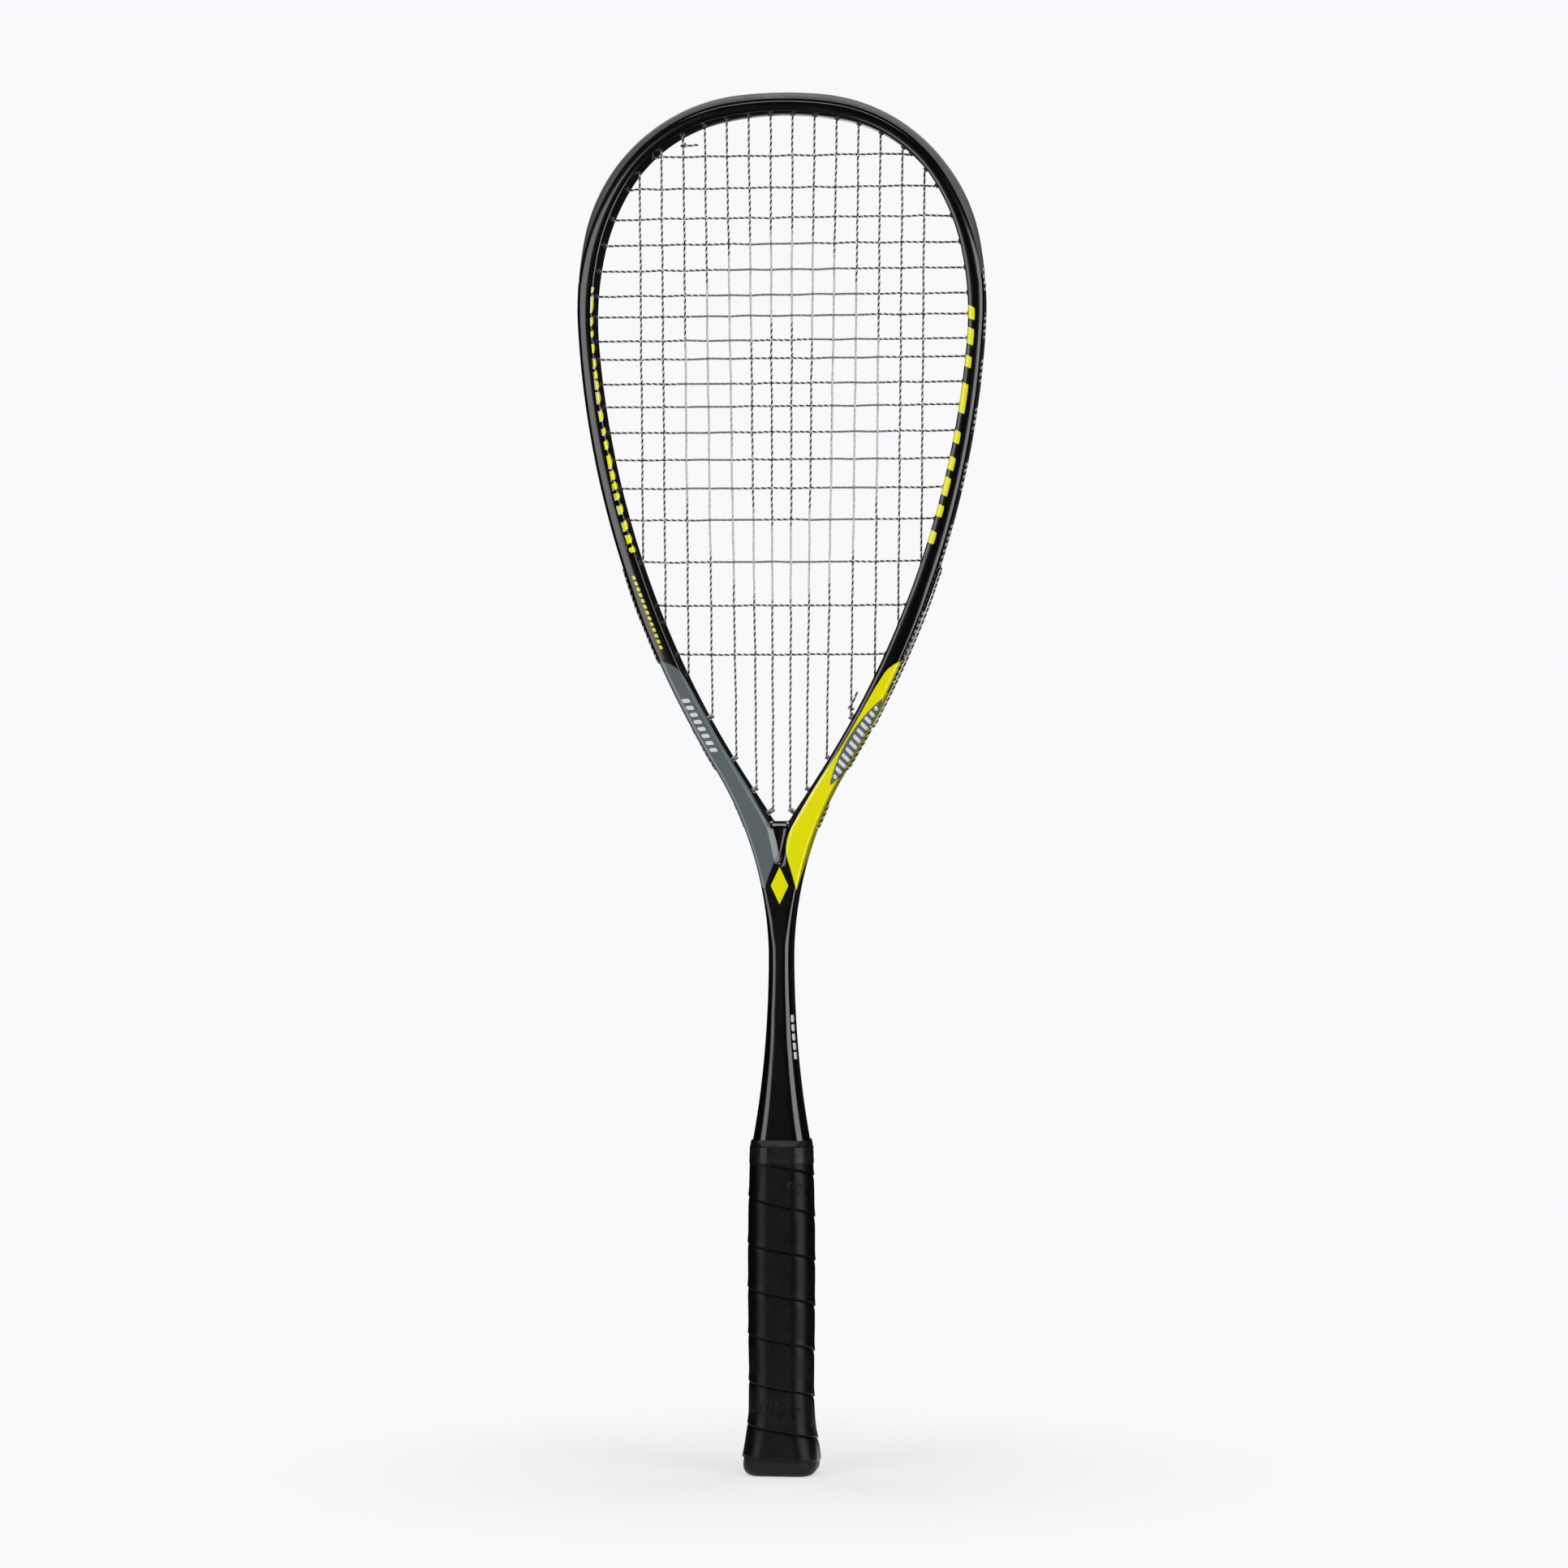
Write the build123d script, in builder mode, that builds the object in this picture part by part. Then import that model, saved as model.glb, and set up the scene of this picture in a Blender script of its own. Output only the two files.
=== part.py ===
from build123d import *
import os
from math import acos, cos, degrees, hypot, radians, sin, tan

# A squash racket standing on its butt. Millimetres. The origin is the middle of the butt's face,
# +Z runs up the shaft to the head, X lies across the head and Y is square to the strings.

os.makedirs("parts", exist_ok=True)

# ---------------------------------------------------------------- driving dimensions
LENGTH = 686.0
FRAME_TOP = 682.7
HOLE_TOP = 676.5
DEPTH = 20.0
EDGE_RADIUS = 3.5

# Right half of each outline, from the top centre downwards: tangent arcs as (radius, turn in degrees).
# A positive turn bends clockwise. The guard and the frame share everything below the widest point.
GUARD_ARCS = [(206.5, 5.8), (87.85, 73.25), (185.0, 10.95)]
FRAME_ARCS = [(172.0, 8.75), (81.4, 47.9), (120.0, 33.35)]
ARM_ARCS = [(137.0, 3.15), (471.5, 28.5), (176.8, -31.65), (510.0, -10.6)]
HOLE_ARCS = [(145.0, 12.7), (71.6, 45.8), (105.0, 19.2), (151.5, 17.0), (464.7, 28.55), (2000.0, 0.6)]
HOLE_FOOT_RADIUS = 7.0

GUARD_END = 594.0
STRIP_END = 388.0
END_GAP = 0.3
GROOVE_DEPTH = 1.6
GROOVE_HALF = 4.0
FLOOR_THICKNESS = 0.75
CHANNEL_HALF = 2.6
FIT = 0.05

CAVITY_GROOVE_WALL = 2.6
CAVITY_OUTER_WALL = 1.3
CAVITY_INNER_WALL = 1.1
CAVITY_FACE_WALL = 1.3
WEB_TOP = 326.0
WEB_APEX = 292.0
WEB_HALF = 6.0
WEB_RECESS = 2.5
WEB_MARGIN = 2.2
WEB_CORNER = 1.5

STRING_RADIUS = 0.6
BORE_RADIUS = 0.8
BARREL_RADIUS = 1.25
WIDE_BORE_RADIUS = 1.4
WIDE_BARREL_RADIUS = 1.8
BARREL_FIT = 0.1
BARREL_STICKOUT = 1.0
TUBE_STICKOUT = 2.5
DRILL_OVERRUN = 5.0
BORE_OVERRUN = 2.0

MAINS = 14
MAIN_PITCH = 11.1
MAIN_FEET = [5.9, 14.2, 24.3, 36.4, 47.5, 59.2, 69.3]
CROSS_HEIGHTS = [655.6, 639.7, 624.8, 611.8, 599.0, 586.4, 576.0, 563.9, 554.8]
CROSS_HEIGHTS += [542.4, 531.0, 518.1, 504.5, 490.2, 474.5, 453.5, 431.8, 407.4]
SHARED_CROSS = 15
TUBE_FEET = 4
TIE_MAIN_HIGH = 3
TIE_MAIN_LOW = 11
HEAD_CENTRE = 575.0

SHOULDER = 3.0
CORE_WIDTH = 22.0
CORE_DEPTH = 17.0
CORE_WALL = 1.4
CORE_END = 8.0
CORE_RADIUS = 3.0

# The handle's outer form over the tape: height, width across X and depth along Y of each section.
HANDLE_SECTIONS = [(0.0, 37.0, 32.6), (9.0, 37.4, 33.0), (17.0, 35.0, 30.6), (26.0, 32.6, 28.4)]
HANDLE_SECTIONS += [(42.0, 31.5, 27.4), (70.0, 32.0, 27.8), (130.0, 32.0, 27.6), (163.3, 30.3, 26.0)]
HANDLE_CORNER = 8.5
GRIP_TOP = 163.3
GRIP_BOTTOM = 11.5
GRIP_THICKNESS = 1.9
BAND_HEIGHT = 9.5
BAND_THICKNESS = 0.3
COLLAR_HEIGHT = 3.0
COLLAR_TOP_WIDTH = 28.8
COLLAR_TOP_DEPTH = 20.9
COLLAR_TOP_CORNER = 4.2
CAP_INSET = 0.3
CAP_FLOOR = 4.0
CAP_SKIRT_TOP = 30.0
CAP_SKIRT_THICKNESS = 1.2
BUTT_FACE_RADIUS = 4.5
STAPLE_HEIGHT = 21.0
STAPLE_WIDTH = 10.0
STAPLE_WIRE = 0.6
STAPLE_LEG = 3.4
STAPLE_FACE = 12.5

# Working lengths: a block that covers the whole racket, the longest ray, and a step inside an edge.
COVER = 800.0
FURTHEST = 300.0
EDGE_STEP = 0.01


# ---------------------------------------------------------------- outlines
def trace(top, arcs):
    """Each arc as (centre x, centre z, radius, side, heading in, heading out), headings in radians."""
    x, z, heading = 0.0, top, 0.0
    traced = []
    for radius, turn in arcs:
        side = 1 if turn > 0 else -1
        centre_x = x + side * radius * sin(heading)
        centre_z = z - side * radius * cos(heading)
        leaving = heading - radians(turn)
        traced.append((centre_x, centre_z, radius, side, heading, leaving))
        x = centre_x - side * radius * sin(leaving)
        z = centre_z + side * radius * cos(leaving)
        heading = leaving
    return traced


def grown(outline, distance):
    return [(x, z, radius + side * distance, side, a, b) for x, z, radius, side, a, b in outline]


def end_of(outline):
    x, z, radius, side, _, leaving = outline[-1]
    return x - side * radius * sin(leaving), z + side * radius * cos(leaving)


def half_width(outline, height):
    """Half width and heading at a height, or None above or below the outline."""
    for x, z, radius, side, entering, leaving in outline:
        high = z + side * radius * cos(entering)
        low = z + side * radius * cos(leaving)
        if low <= height <= high:
            heading = -acos(side * (height - z) / radius)
            return x - side * radius * sin(heading), heading
    return None


def inside(outline, x, z):
    found = half_width(outline, z)
    return found is not None and abs(x) < found[0]


def reach(outline, start, direction):
    """The point where a ray from inside the outline leaves it."""
    near, far = 0.0, FURTHEST
    for _ in range(50):
        middle = (near + far) / 2
        if inside(outline, start[0] + direction[0] * middle, start[1] + direction[1] * middle):
            near = middle
        else:
            far = middle
    return start[0] + direction[0] * near, start[1] + direction[1] * near


def draw(outline):
    for x, z, radius, side, entering, leaving in outline:
        CenterArc((x, z), radius, degrees(entering) + 90 * side, degrees(leaving - entering))


def draw_body(outline):
    """A closed body outline, head and shaft, mirrored left and right."""
    with BuildLine() as border:
        draw(outline)
        Line(end_of(outline), (0, end_of(outline)[1]))
        mirror(about=Plane.YZ)
    make_face(border.edges())


def draw_hole(outline, foot_radius):
    """The teardrop opening: its straight arms meet in a rounded foot."""
    x, z = end_of(outline)
    heading = outline[-1][5]
    foot_x = -foot_radius * sin(heading)
    foot_z = z - (x - foot_x) * tan(heading)
    with BuildLine() as border:
        draw(outline)
        Line((x, z), (foot_x, foot_z))
        foot_centre = (0, foot_z - foot_radius * cos(heading))
        CenterArc(foot_centre, foot_radius, degrees(heading) + 90, -180 - degrees(heading))
        mirror(about=Plane.YZ)
    make_face(border.edges())


guard_outline = trace(LENGTH, GUARD_ARCS + ARM_ARCS)
frame_outline = trace(FRAME_TOP, FRAME_ARCS + ARM_ARCS)
hole_outline = trace(HOLE_TOP, HOLE_ARCS)
shaft_end = end_of(guard_outline)[1]


# ---------------------------------------------------------------- string ports
def port(inner, wide=False):
    """A string hole square to the opening's edge: its inner and outer points and its direction."""
    heading = half_width(hole_outline, inner[1])[1]
    side = 1 if inner[0] > 0 else -1
    direction = (-side * sin(heading), cos(heading))
    outer = reach(frame_outline, inner, direction)
    return {"inner": inner, "outer": outer, "direction": direction, "wide": wide}


def along(hole, distance, y=0.0):
    """A point on a port's axis, measured outwards from the frame's outer surface."""
    x = hole["outer"][0] + hole["direction"][0] * distance
    z = hole["outer"][1] + hole["direction"][1] * distance
    return (x, y, z)


def main_place(number):
    """Side and position of a main, counted from the left: position 1 is beside the centre line."""
    half = MAINS // 2
    return (-1, half + 1 - number) if number <= half else (1, number - half)


main_heads, main_feet = {}, {}
for number in range(1, MAINS + 1):
    side, position = main_place(number)
    head_x = side * MAIN_PITCH * (position - 0.5)
    head = reach(hole_outline, (head_x, HEAD_CENTRE), (0, 1))
    main_heads[number] = port(head, wide=number == TIE_MAIN_HIGH)
    foot_x = side * MAIN_FEET[position - 1]
    if position == MAINS // 2:
        foot_z = CROSS_HEIGHTS[SHARED_CROSS]
        foot = (side * (half_width(hole_outline, foot_z)[0] - EDGE_STEP), foot_z)
    else:
        foot = reach(hole_outline, (foot_x, HEAD_CENTRE), (0, -1))
    main_feet[number] = port(foot, wide=number in (1, TIE_MAIN_LOW, MAINS))

cross_ends = {}
for index, height in enumerate(CROSS_HEIGHTS):
    reach_x = half_width(hole_outline, height)[0] - EDGE_STEP
    for side in (-1, 1):
        if index == SHARED_CROSS:
            cross_ends[index, side] = main_feet[1 if side < 0 else MAINS]
        else:
            cross_ends[index, side] = port((side * reach_x, height))

tube_ports = [main_feet[n] for n in range(1, MAINS + 1) if main_place(n)[1] <= TUBE_FEET]
ports = list(main_heads.values()) + list(main_feet.values())
ports += [hole for (index, _), hole in cross_ends.items() if index != SHARED_CROSS]
barrel_ports = [hole for hole in ports if hole not in tube_ports]


def port_plane(hole):
    """Across the port's axis at the frame's outer surface, with Z pointing outwards."""
    return Plane(origin=along(hole, 0), z_dir=(hole["direction"][0], 0, hole["direction"][1]))


def port_length(hole):
    return hypot(hole["outer"][0] - hole["inner"][0], hole["outer"][1] - hole["inner"][1])


def rods(holes, radius, wide_radius, outward, inward, mode=Mode.ADD):
    """A round bar in each port, from `outward` past the outer surface to `inward` past the inner one."""
    bars = []
    for hole in holes:
        size = wide_radius if hole["wide"] else radius
        with BuildSketch(port_plane(hole).offset(outward)) as end:
            Circle(size)
        length = outward + port_length(hole) + inward
        bars.append(extrude(end.sketch, amount=-length, mode=Mode.PRIVATE))
    add(bars, mode=mode)


# ---------------------------------------------------------------- frame
with BuildPart() as blank:
    with BuildSketch(Plane.XZ):
        draw_body(guard_outline)
    extrude(amount=DEPTH / 2, both=True)
    with BuildSketch(Plane.XZ):
        draw_hole(hole_outline, HOLE_FOOT_RADIUS)
    extrude(amount=DEPTH, both=True, mode=Mode.SUBTRACT)
    rims = blank.faces().filter_by(Axis.Y).edges()
    fillet(rims.filter_by(lambda edge: edge.center().Z > shaft_end + 1), radius=EDGE_RADIUS)

with BuildPart() as frame:
    add(blank.part)
    # the seat of the guard: everything outside the frame's own outline, over the head
    with BuildSketch(Plane.XZ):
        with Locations((0, GUARD_END)):
            Rectangle(COVER, COVER, align=(Align.CENTER, Align.MIN))
        with BuildSketch(mode=Mode.PRIVATE) as own_outline:
            draw_body(frame_outline)
        add(own_outline.sketch, mode=Mode.SUBTRACT)
    extrude(amount=DEPTH, both=True, mode=Mode.SUBTRACT)
    # the groove for the strips
    with BuildSketch(Plane.XZ):
        with Locations((0, STRIP_END)):
            Rectangle(COVER, COVER, align=(Align.CENTER, Align.MIN))
        with BuildSketch(mode=Mode.PRIVATE) as groove_floor:
            draw_body(grown(frame_outline, -GROOVE_DEPTH))
        add(groove_floor.sketch, mode=Mode.SUBTRACT)
    extrude(amount=GROOVE_HALF, both=True, mode=Mode.SUBTRACT)
    # the hollow inside
    with BuildSketch(Plane.XZ):
        draw_body(grown(frame_outline, -CAVITY_GROOVE_WALL))
        with BuildSketch(mode=Mode.PRIVATE) as plain_cavity:
            draw_body(grown(frame_outline, -CAVITY_OUTER_WALL))
            with Locations((0, STRIP_END - END_GAP - CAVITY_OUTER_WALL)):
                Rectangle(COVER, COVER, align=(Align.CENTER, Align.MAX), mode=Mode.INTERSECT)
        add(plain_cavity.sketch)
        with Locations((0, shaft_end + SHOULDER)):
            Rectangle(COVER, COVER, align=(Align.CENTER, Align.MIN), mode=Mode.INTERSECT)
        with BuildSketch(mode=Mode.PRIVATE) as hole_wall:
            draw_hole(grown(hole_outline, CAVITY_INNER_WALL), HOLE_FOOT_RADIUS)
        add(hole_wall.sketch, mode=Mode.SUBTRACT)
        with BuildLine():
            web_side = WEB_HALF + WEB_MARGIN
            Polyline((-web_side, WEB_TOP), (web_side, WEB_TOP), (0, WEB_APEX - 2 * WEB_MARGIN), close=True)
        make_face(mode=Mode.SUBTRACT)
    extrude(amount=DEPTH / 2 - CAVITY_FACE_WALL, both=True, mode=Mode.SUBTRACT)
    # the web between the arms is recessed on both faces
    for face_side in (-1, 1):
        with BuildSketch(Plane.XZ.offset(face_side * DEPTH / 2)) as recess:
            with BuildLine():
                Polyline((-WEB_HALF, WEB_TOP), (WEB_HALF, WEB_TOP), (0, WEB_APEX), close=True)
            make_face()
            fillet(recess.vertices().sort_by(Axis.Y)[0], radius=WEB_CORNER)
        extrude(amount=-face_side * WEB_RECESS, mode=Mode.SUBTRACT)
    # the core that runs down inside the handle
    with BuildSketch(Plane.XY.offset(CORE_END)):
        RectangleRounded(CORE_WIDTH, CORE_DEPTH, CORE_RADIUS)
    extrude(amount=shaft_end - CORE_END + SHOULDER / 2)
    with BuildSketch(Plane.XY.offset(CORE_END)):
        RectangleRounded(CORE_WIDTH - 2 * CORE_WALL, CORE_DEPTH - 2 * CORE_WALL, CORE_RADIUS - CORE_WALL / 2)
    extrude(amount=shaft_end - CORE_END + 2 * SHOULDER, mode=Mode.SUBTRACT)
    drill, wide_drill = BARREL_RADIUS + BARREL_FIT, WIDE_BARREL_RADIUS + BARREL_FIT
    rods(ports, drill, wide_drill, DRILL_OVERRUN, DRILL_OVERRUN, Mode.SUBTRACT)


# ---------------------------------------------------------------- guard, strips and tubes
def outside_band(distance, low, high, side=0):
    """Everything outside the grown outline between two heights, on one side (-1 or 1) or on both (0)."""
    with Locations((side * COVER / 2, (low + high) / 2)):
        Rectangle(COVER, high - low)
    with BuildSketch(mode=Mode.PRIVATE) as body:
        draw_body(grown(frame_outline, distance))
    add(body.sketch, mode=Mode.SUBTRACT)


def within_body(distance):
    with BuildSketch(mode=Mode.PRIVATE) as body:
        draw_body(grown(frame_outline, distance))
    add(body.sketch, mode=Mode.INTERSECT)


CHANNEL_FLOOR = -GROOVE_DEPTH + FIT + FLOOR_THICKNESS
ABOVE_HEAD = LENGTH + 20.0

with BuildPart() as bumper_guard:
    add(blank.part)
    with BuildSketch(Plane.XZ):
        outside_band(0, GUARD_END + END_GAP, ABOVE_HEAD)
    extrude(amount=DEPTH, both=True, mode=Mode.INTERSECT)
    with BuildSketch(Plane.XZ):
        outside_band(-GROOVE_DEPTH + FIT, GUARD_END + END_GAP, ABOVE_HEAD)
        within_body(END_GAP)
    extrude(amount=GROOVE_HALF - FIT, both=True)
    with BuildSketch(Plane.XZ):
        outside_band(CHANNEL_FLOOR, GUARD_END, ABOVE_HEAD)
    extrude(amount=CHANNEL_HALF, both=True, mode=Mode.SUBTRACT)
    guard_ports = [hole for hole in barrel_ports if hole["outer"][1] > GUARD_END]
    rods(guard_ports, BARREL_RADIUS, WIDE_BARREL_RADIUS, CHANNEL_FLOOR - FIT, BARREL_STICKOUT)
    rods(guard_ports, BORE_RADIUS, WIDE_BORE_RADIUS, BORE_OVERRUN, BORE_OVERRUN, Mode.SUBTRACT)

strips = {}
for name, side in (("grommet_strip_left", -1), ("grommet_strip_right", 1)):
    with BuildPart() as strip:
        with BuildSketch(Plane.XZ):
            outside_band(-GROOVE_DEPTH + FIT, STRIP_END + END_GAP, GUARD_END, side)
            within_body(0)
        extrude(amount=GROOVE_HALF - FIT, both=True)
        with BuildSketch(Plane.XZ):
            outside_band(CHANNEL_FLOOR, STRIP_END, GUARD_END)
        extrude(amount=CHANNEL_HALF, both=True, mode=Mode.SUBTRACT)
        side_ports = [hole for hole in barrel_ports if hole["outer"][0] * side > 0]
        strip_ports = [hole for hole in side_ports if hole["outer"][1] < GUARD_END]
        rods(strip_ports, BARREL_RADIUS, WIDE_BARREL_RADIUS, CHANNEL_FLOOR - FIT, BARREL_STICKOUT)
        rods(strip_ports, BORE_RADIUS, WIDE_BORE_RADIUS, BORE_OVERRUN, BORE_OVERRUN, Mode.SUBTRACT)
    strips[name] = strip

with BuildPart() as throat_grommets:
    rods(tube_ports, BARREL_RADIUS, WIDE_BARREL_RADIUS, 0, TUBE_STICKOUT)
    tube_inward = TUBE_STICKOUT + BORE_OVERRUN
    rods(tube_ports, BORE_RADIUS, WIDE_BORE_RADIUS, BORE_OVERRUN, tube_inward, Mode.SUBTRACT)

# ---------------------------------------------------------------- string: one length, tied at both ends
LOOP_LEVEL = 0.25
TUBE_LOOP_LEVEL = 1.0
RUN_LEVEL = 1.5
LANE = 1.35
SHARED_OFFSET = 0.62
LANE_REACH = 3.0
RUN_SPACING = 15.0
TIP_CLEARANCE = 1.35
TIP_MARGIN = 2.0
WEAVE = 1.4
LARGEST_BEND = 5.0
RUN_SHARE = 0.45
STRAIGHT = 0.003
KNOT_RADIUS = 1.35
KNOT_STEP = 60
KNOT_RISE = 0.25
KNOT_LIFT = 3.0
LOW_TAIL = (3.4, 7.5)
HIGH_TAIL = (7.5, 0.5)
TAIL_LEAN = 0.3


def tip(hole, y):
    """Where the string bends as it comes out of a barrel inside the head."""
    stickout = TUBE_STICKOUT if hole in tube_ports else BARREL_STICKOUT
    return along(hole, -port_length(hole) - stickout - TIP_CLEARANCE, y)


def pushed(point, level):
    """A point moved out to a level over the frame's outer surface."""
    start = (0.0, min(point[2], HEAD_CENTRE))
    span = hypot(point[0], point[2] - start[1])
    direction = (point[0] / span, (point[2] - start[1]) / span)
    x, z = reach(grown(frame_outline, level), start, direction)
    return (x, point[1], z)


def outer_run(first, last, level, lane):
    """Points of a stretch outside the frame, from one port to another."""
    a, b = Vector(*first), Vector(*last)
    length = (b - a).length
    share = LANE_REACH / length
    steps = max(1, round((length - 2 * LANE_REACH) / RUN_SPACING))
    fractions = [share + (1 - 2 * share) * step / steps for step in range(steps + 1)]
    points = []
    for fraction in fractions:
        place = a + (b - a) * fraction
        points.append(pushed((place.X, lane, place.Z), level))
    return points


def main_line(number, height):
    """Where a main is at a height, or None beside or past its ends."""
    head = tip(main_heads[number], 0)
    foot = tip(main_feet[number], 0)
    if not foot[2] + TIP_MARGIN < height < head[2] - TIP_MARGIN:
        return None
    share = (height - foot[2]) / (head[2] - foot[2])
    return foot[0] + (head[0] - foot[0]) * share


def hitch(centre, rise, tail):
    """One turn round a main, then the cut end."""
    points = []
    for step in range(360 // KNOT_STEP + 1):
        angle = radians(KNOT_STEP * step - 90)
        x = centre[0] + KNOT_RADIUS * cos(angle)
        y = centre[1] + KNOT_RADIUS * sin(angle)
        points.append((x, y, centre[2] + rise * step))
    points.append((points[-1][0] + tail[0], points[-1][1] - TAIL_LEAN, points[-1][2] + tail[1]))
    return points


def through(hole, y, level, inwards):
    ends = [tip(hole, y), along(hole, level, y)]
    return ends[::-1] if inwards else ends


# from the low knot up the outside to the last main
low_knot = main_feet[TIE_MAIN_LOW]
knot_tip = tip(low_knot, SHARED_OFFSET)
route = hitch((knot_tip[0], knot_tip[1], knot_tip[2] + KNOT_LIFT), KNOT_RISE, LOW_TAIL)[::-1]
route += through(low_knot, -SHARED_OFFSET, RUN_LEVEL, False)
last_foot = main_feet[MAINS]
route += outer_run(route[-1], along(last_foot, RUN_LEVEL, SHARED_OFFSET), RUN_LEVEL, LANE)
route += through(last_foot, SHARED_OFFSET, RUN_LEVEL, True)

# up and down the mains, from the last to the first
going_up = True
for number in range(MAINS, 0, -1):
    first, last = (main_feet, main_heads) if going_up else (main_heads, main_feet)
    leaving = last[number]
    leaving_y = SHARED_OFFSET if leaving["wide"] else 0.0
    level = TUBE_LOOP_LEVEL if leaving in tube_ports else LOOP_LEVEL
    if number == 1:
        level = RUN_LEVEL
    route += through(leaving, leaving_y, level, False)
    if number > 1:
        entering = last[number - 1]
        entering_y = SHARED_OFFSET if entering["wide"] else 0.0
        dock = along(entering, level, entering_y)
        route += outer_run(route[-1], dock, level, LANE)
        route += through(entering, entering_y, level, True)
    going_up = not going_up

# down the outside to the lowest cross, then back and forth up the crosses
cross_side = -1
lowest = len(CROSS_HEIGHTS) - 1
route += outer_run(route[-1], along(cross_ends[lowest, cross_side], RUN_LEVEL), RUN_LEVEL, LANE)
route += through(cross_ends[lowest, cross_side], 0.0, RUN_LEVEL, True)
for index in range(lowest, -1, -1):
    height = CROSS_HEIGHTS[index]
    numbers = range(1, MAINS + 1) if cross_side < 0 else range(MAINS, 0, -1)
    for number in numbers:
        x = main_line(number, height)
        if x is not None:
            route.append((x, WEAVE if (number + index) % 2 else -WEAVE, height))
    cross_side = -cross_side
    leaving = cross_ends[index, cross_side]
    leaving_y = -SHARED_OFFSET if leaving["wide"] else 0.0
    route += through(leaving, leaving_y, LOOP_LEVEL, False)
    if index > 0:
        entering = cross_ends[index - 1, cross_side]
        entering_y = -SHARED_OFFSET if entering["wide"] else 0.0
        route += outer_run(route[-1], along(entering, LOOP_LEVEL, entering_y), LOOP_LEVEL, -LANE)
        route += through(entering, entering_y, LOOP_LEVEL, True)

# from the highest cross round the outside to the high knot
high_knot = main_heads[TIE_MAIN_HIGH]
route += outer_run(route[-1], along(high_knot, LOOP_LEVEL, -SHARED_OFFSET), LOOP_LEVEL, -LANE)
route += through(high_knot, -SHARED_OFFSET, LOOP_LEVEL, True)
knot_tip = tip(high_knot, SHARED_OFFSET)
route += hitch((knot_tip[0], knot_tip[1], knot_tip[2] - KNOT_LIFT), -KNOT_RISE, HIGH_TAIL)


def bend_line(points):
    """Straight runs joined by tangent arcs, each as large as its two runs allow, up to a limit."""
    here = Vector(*points[0])
    smallest = LARGEST_BEND
    for before, corner, after in zip(points, points[1:], points[2:]):
        corner_point = Vector(*corner)
        back = Vector(*before) - corner_point
        ahead = Vector(*after) - corner_point
        turn = radians(180 - back.get_angle(ahead))
        if turn < STRAIGHT:
            continue
        radius = min(LARGEST_BEND, RUN_SHARE * min(back.length, ahead.length) / tan(turn / 2))
        smallest = min(smallest, radius)
        cut = radius * tan(turn / 2)
        entry = corner_point + back.normalized() * cut
        leave = corner_point + ahead.normalized() * cut
        inwards = (back.normalized() + ahead.normalized()).normalized()
        crown = corner_point + inwards * (radius / cos(turn / 2) - radius)
        Line(here, entry)
        ThreePointArc(entry, crown, leave)
        here = leave
    Line(here, Vector(*points[-1]))
    return smallest


with BuildPart() as string:
    with BuildLine() as string_route:
        tightest = bend_line(route)
    with BuildSketch(Plane(origin=string_route.line @ 0, z_dir=string_route.line % 0)):
        Circle(STRING_RADIUS)
    sweep()
string_length = sum(edge.length for edge in string_route.edges())
print("string length", round(string_length), "mm, tightest bend", round(tightest, 2), "mm")


# ---------------------------------------------------------------- handle
def handle_slice(inset, low, high):
    """The handle's outer form, drawn in by an inset, between two heights."""
    with BuildPart() as form:
        for height, width, depth in HANDLE_SECTIONS:
            with BuildSketch(Plane.XY.offset(height)):
                RectangleRounded(width - 2 * inset, depth - 2 * inset, HANDLE_CORNER - inset)
        loft(ruled=True)
        with Locations((0, 0, (low + high) / 2)):
            Box(COVER, COVER, high - low, mode=Mode.INTERSECT)
    return form.part


skirt_inset = GRIP_THICKNESS + FIT
plug_inset = skirt_inset + CAP_SKIRT_THICKNESS + FIT
grip_outside = handle_slice(0, GRIP_BOTTOM, GRIP_TOP)
grip_inside = handle_slice(GRIP_THICKNESS, GRIP_BOTTOM, GRIP_TOP)
cap_foot = handle_slice(CAP_INSET, 0, GRIP_BOTTOM - FIT)
cap_skirt = handle_slice(skirt_inset, GRIP_BOTTOM - 1, CAP_SKIRT_TOP)
cap_inside = handle_slice(skirt_inset + CAP_SKIRT_THICKNESS, CAP_FLOOR, CAP_SKIRT_TOP)
pallet_body = handle_slice(skirt_inset, CAP_SKIRT_TOP + FIT, GRIP_TOP)
pallet_plug = handle_slice(plug_inset, CAP_FLOOR + FIT, CAP_SKIRT_TOP + 1)
band_low = GRIP_TOP - BAND_HEIGHT
band_outside = handle_slice(-FIT - BAND_THICKNESS, band_low, GRIP_TOP)
band_inside = handle_slice(-FIT, band_low, GRIP_TOP)

with BuildPart() as butt_cap_staples:
    for side in (-1, 1):
        with Locations((0, side * (STAPLE_FACE - STAPLE_WIRE / 2), STAPLE_HEIGHT)):
            Box(STAPLE_WIDTH, STAPLE_WIRE, STAPLE_WIRE)
        for leg_side in (-1, 1):
            leg_x = leg_side * (STAPLE_WIDTH - STAPLE_WIRE) / 2
            with Locations((leg_x, side * (STAPLE_FACE - STAPLE_LEG / 2), STAPLE_HEIGHT)):
                Box(STAPLE_WIRE, STAPLE_LEG, STAPLE_WIRE)

with BuildPart() as butt_cap:
    add(cap_foot)
    fillet(butt_cap.faces().sort_by(Axis.Z)[0].edges(), radius=BUTT_FACE_RADIUS)
    add(cap_skirt)
    add(cap_inside, mode=Mode.SUBTRACT)
    add(butt_cap_staples.part, mode=Mode.SUBTRACT)

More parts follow.
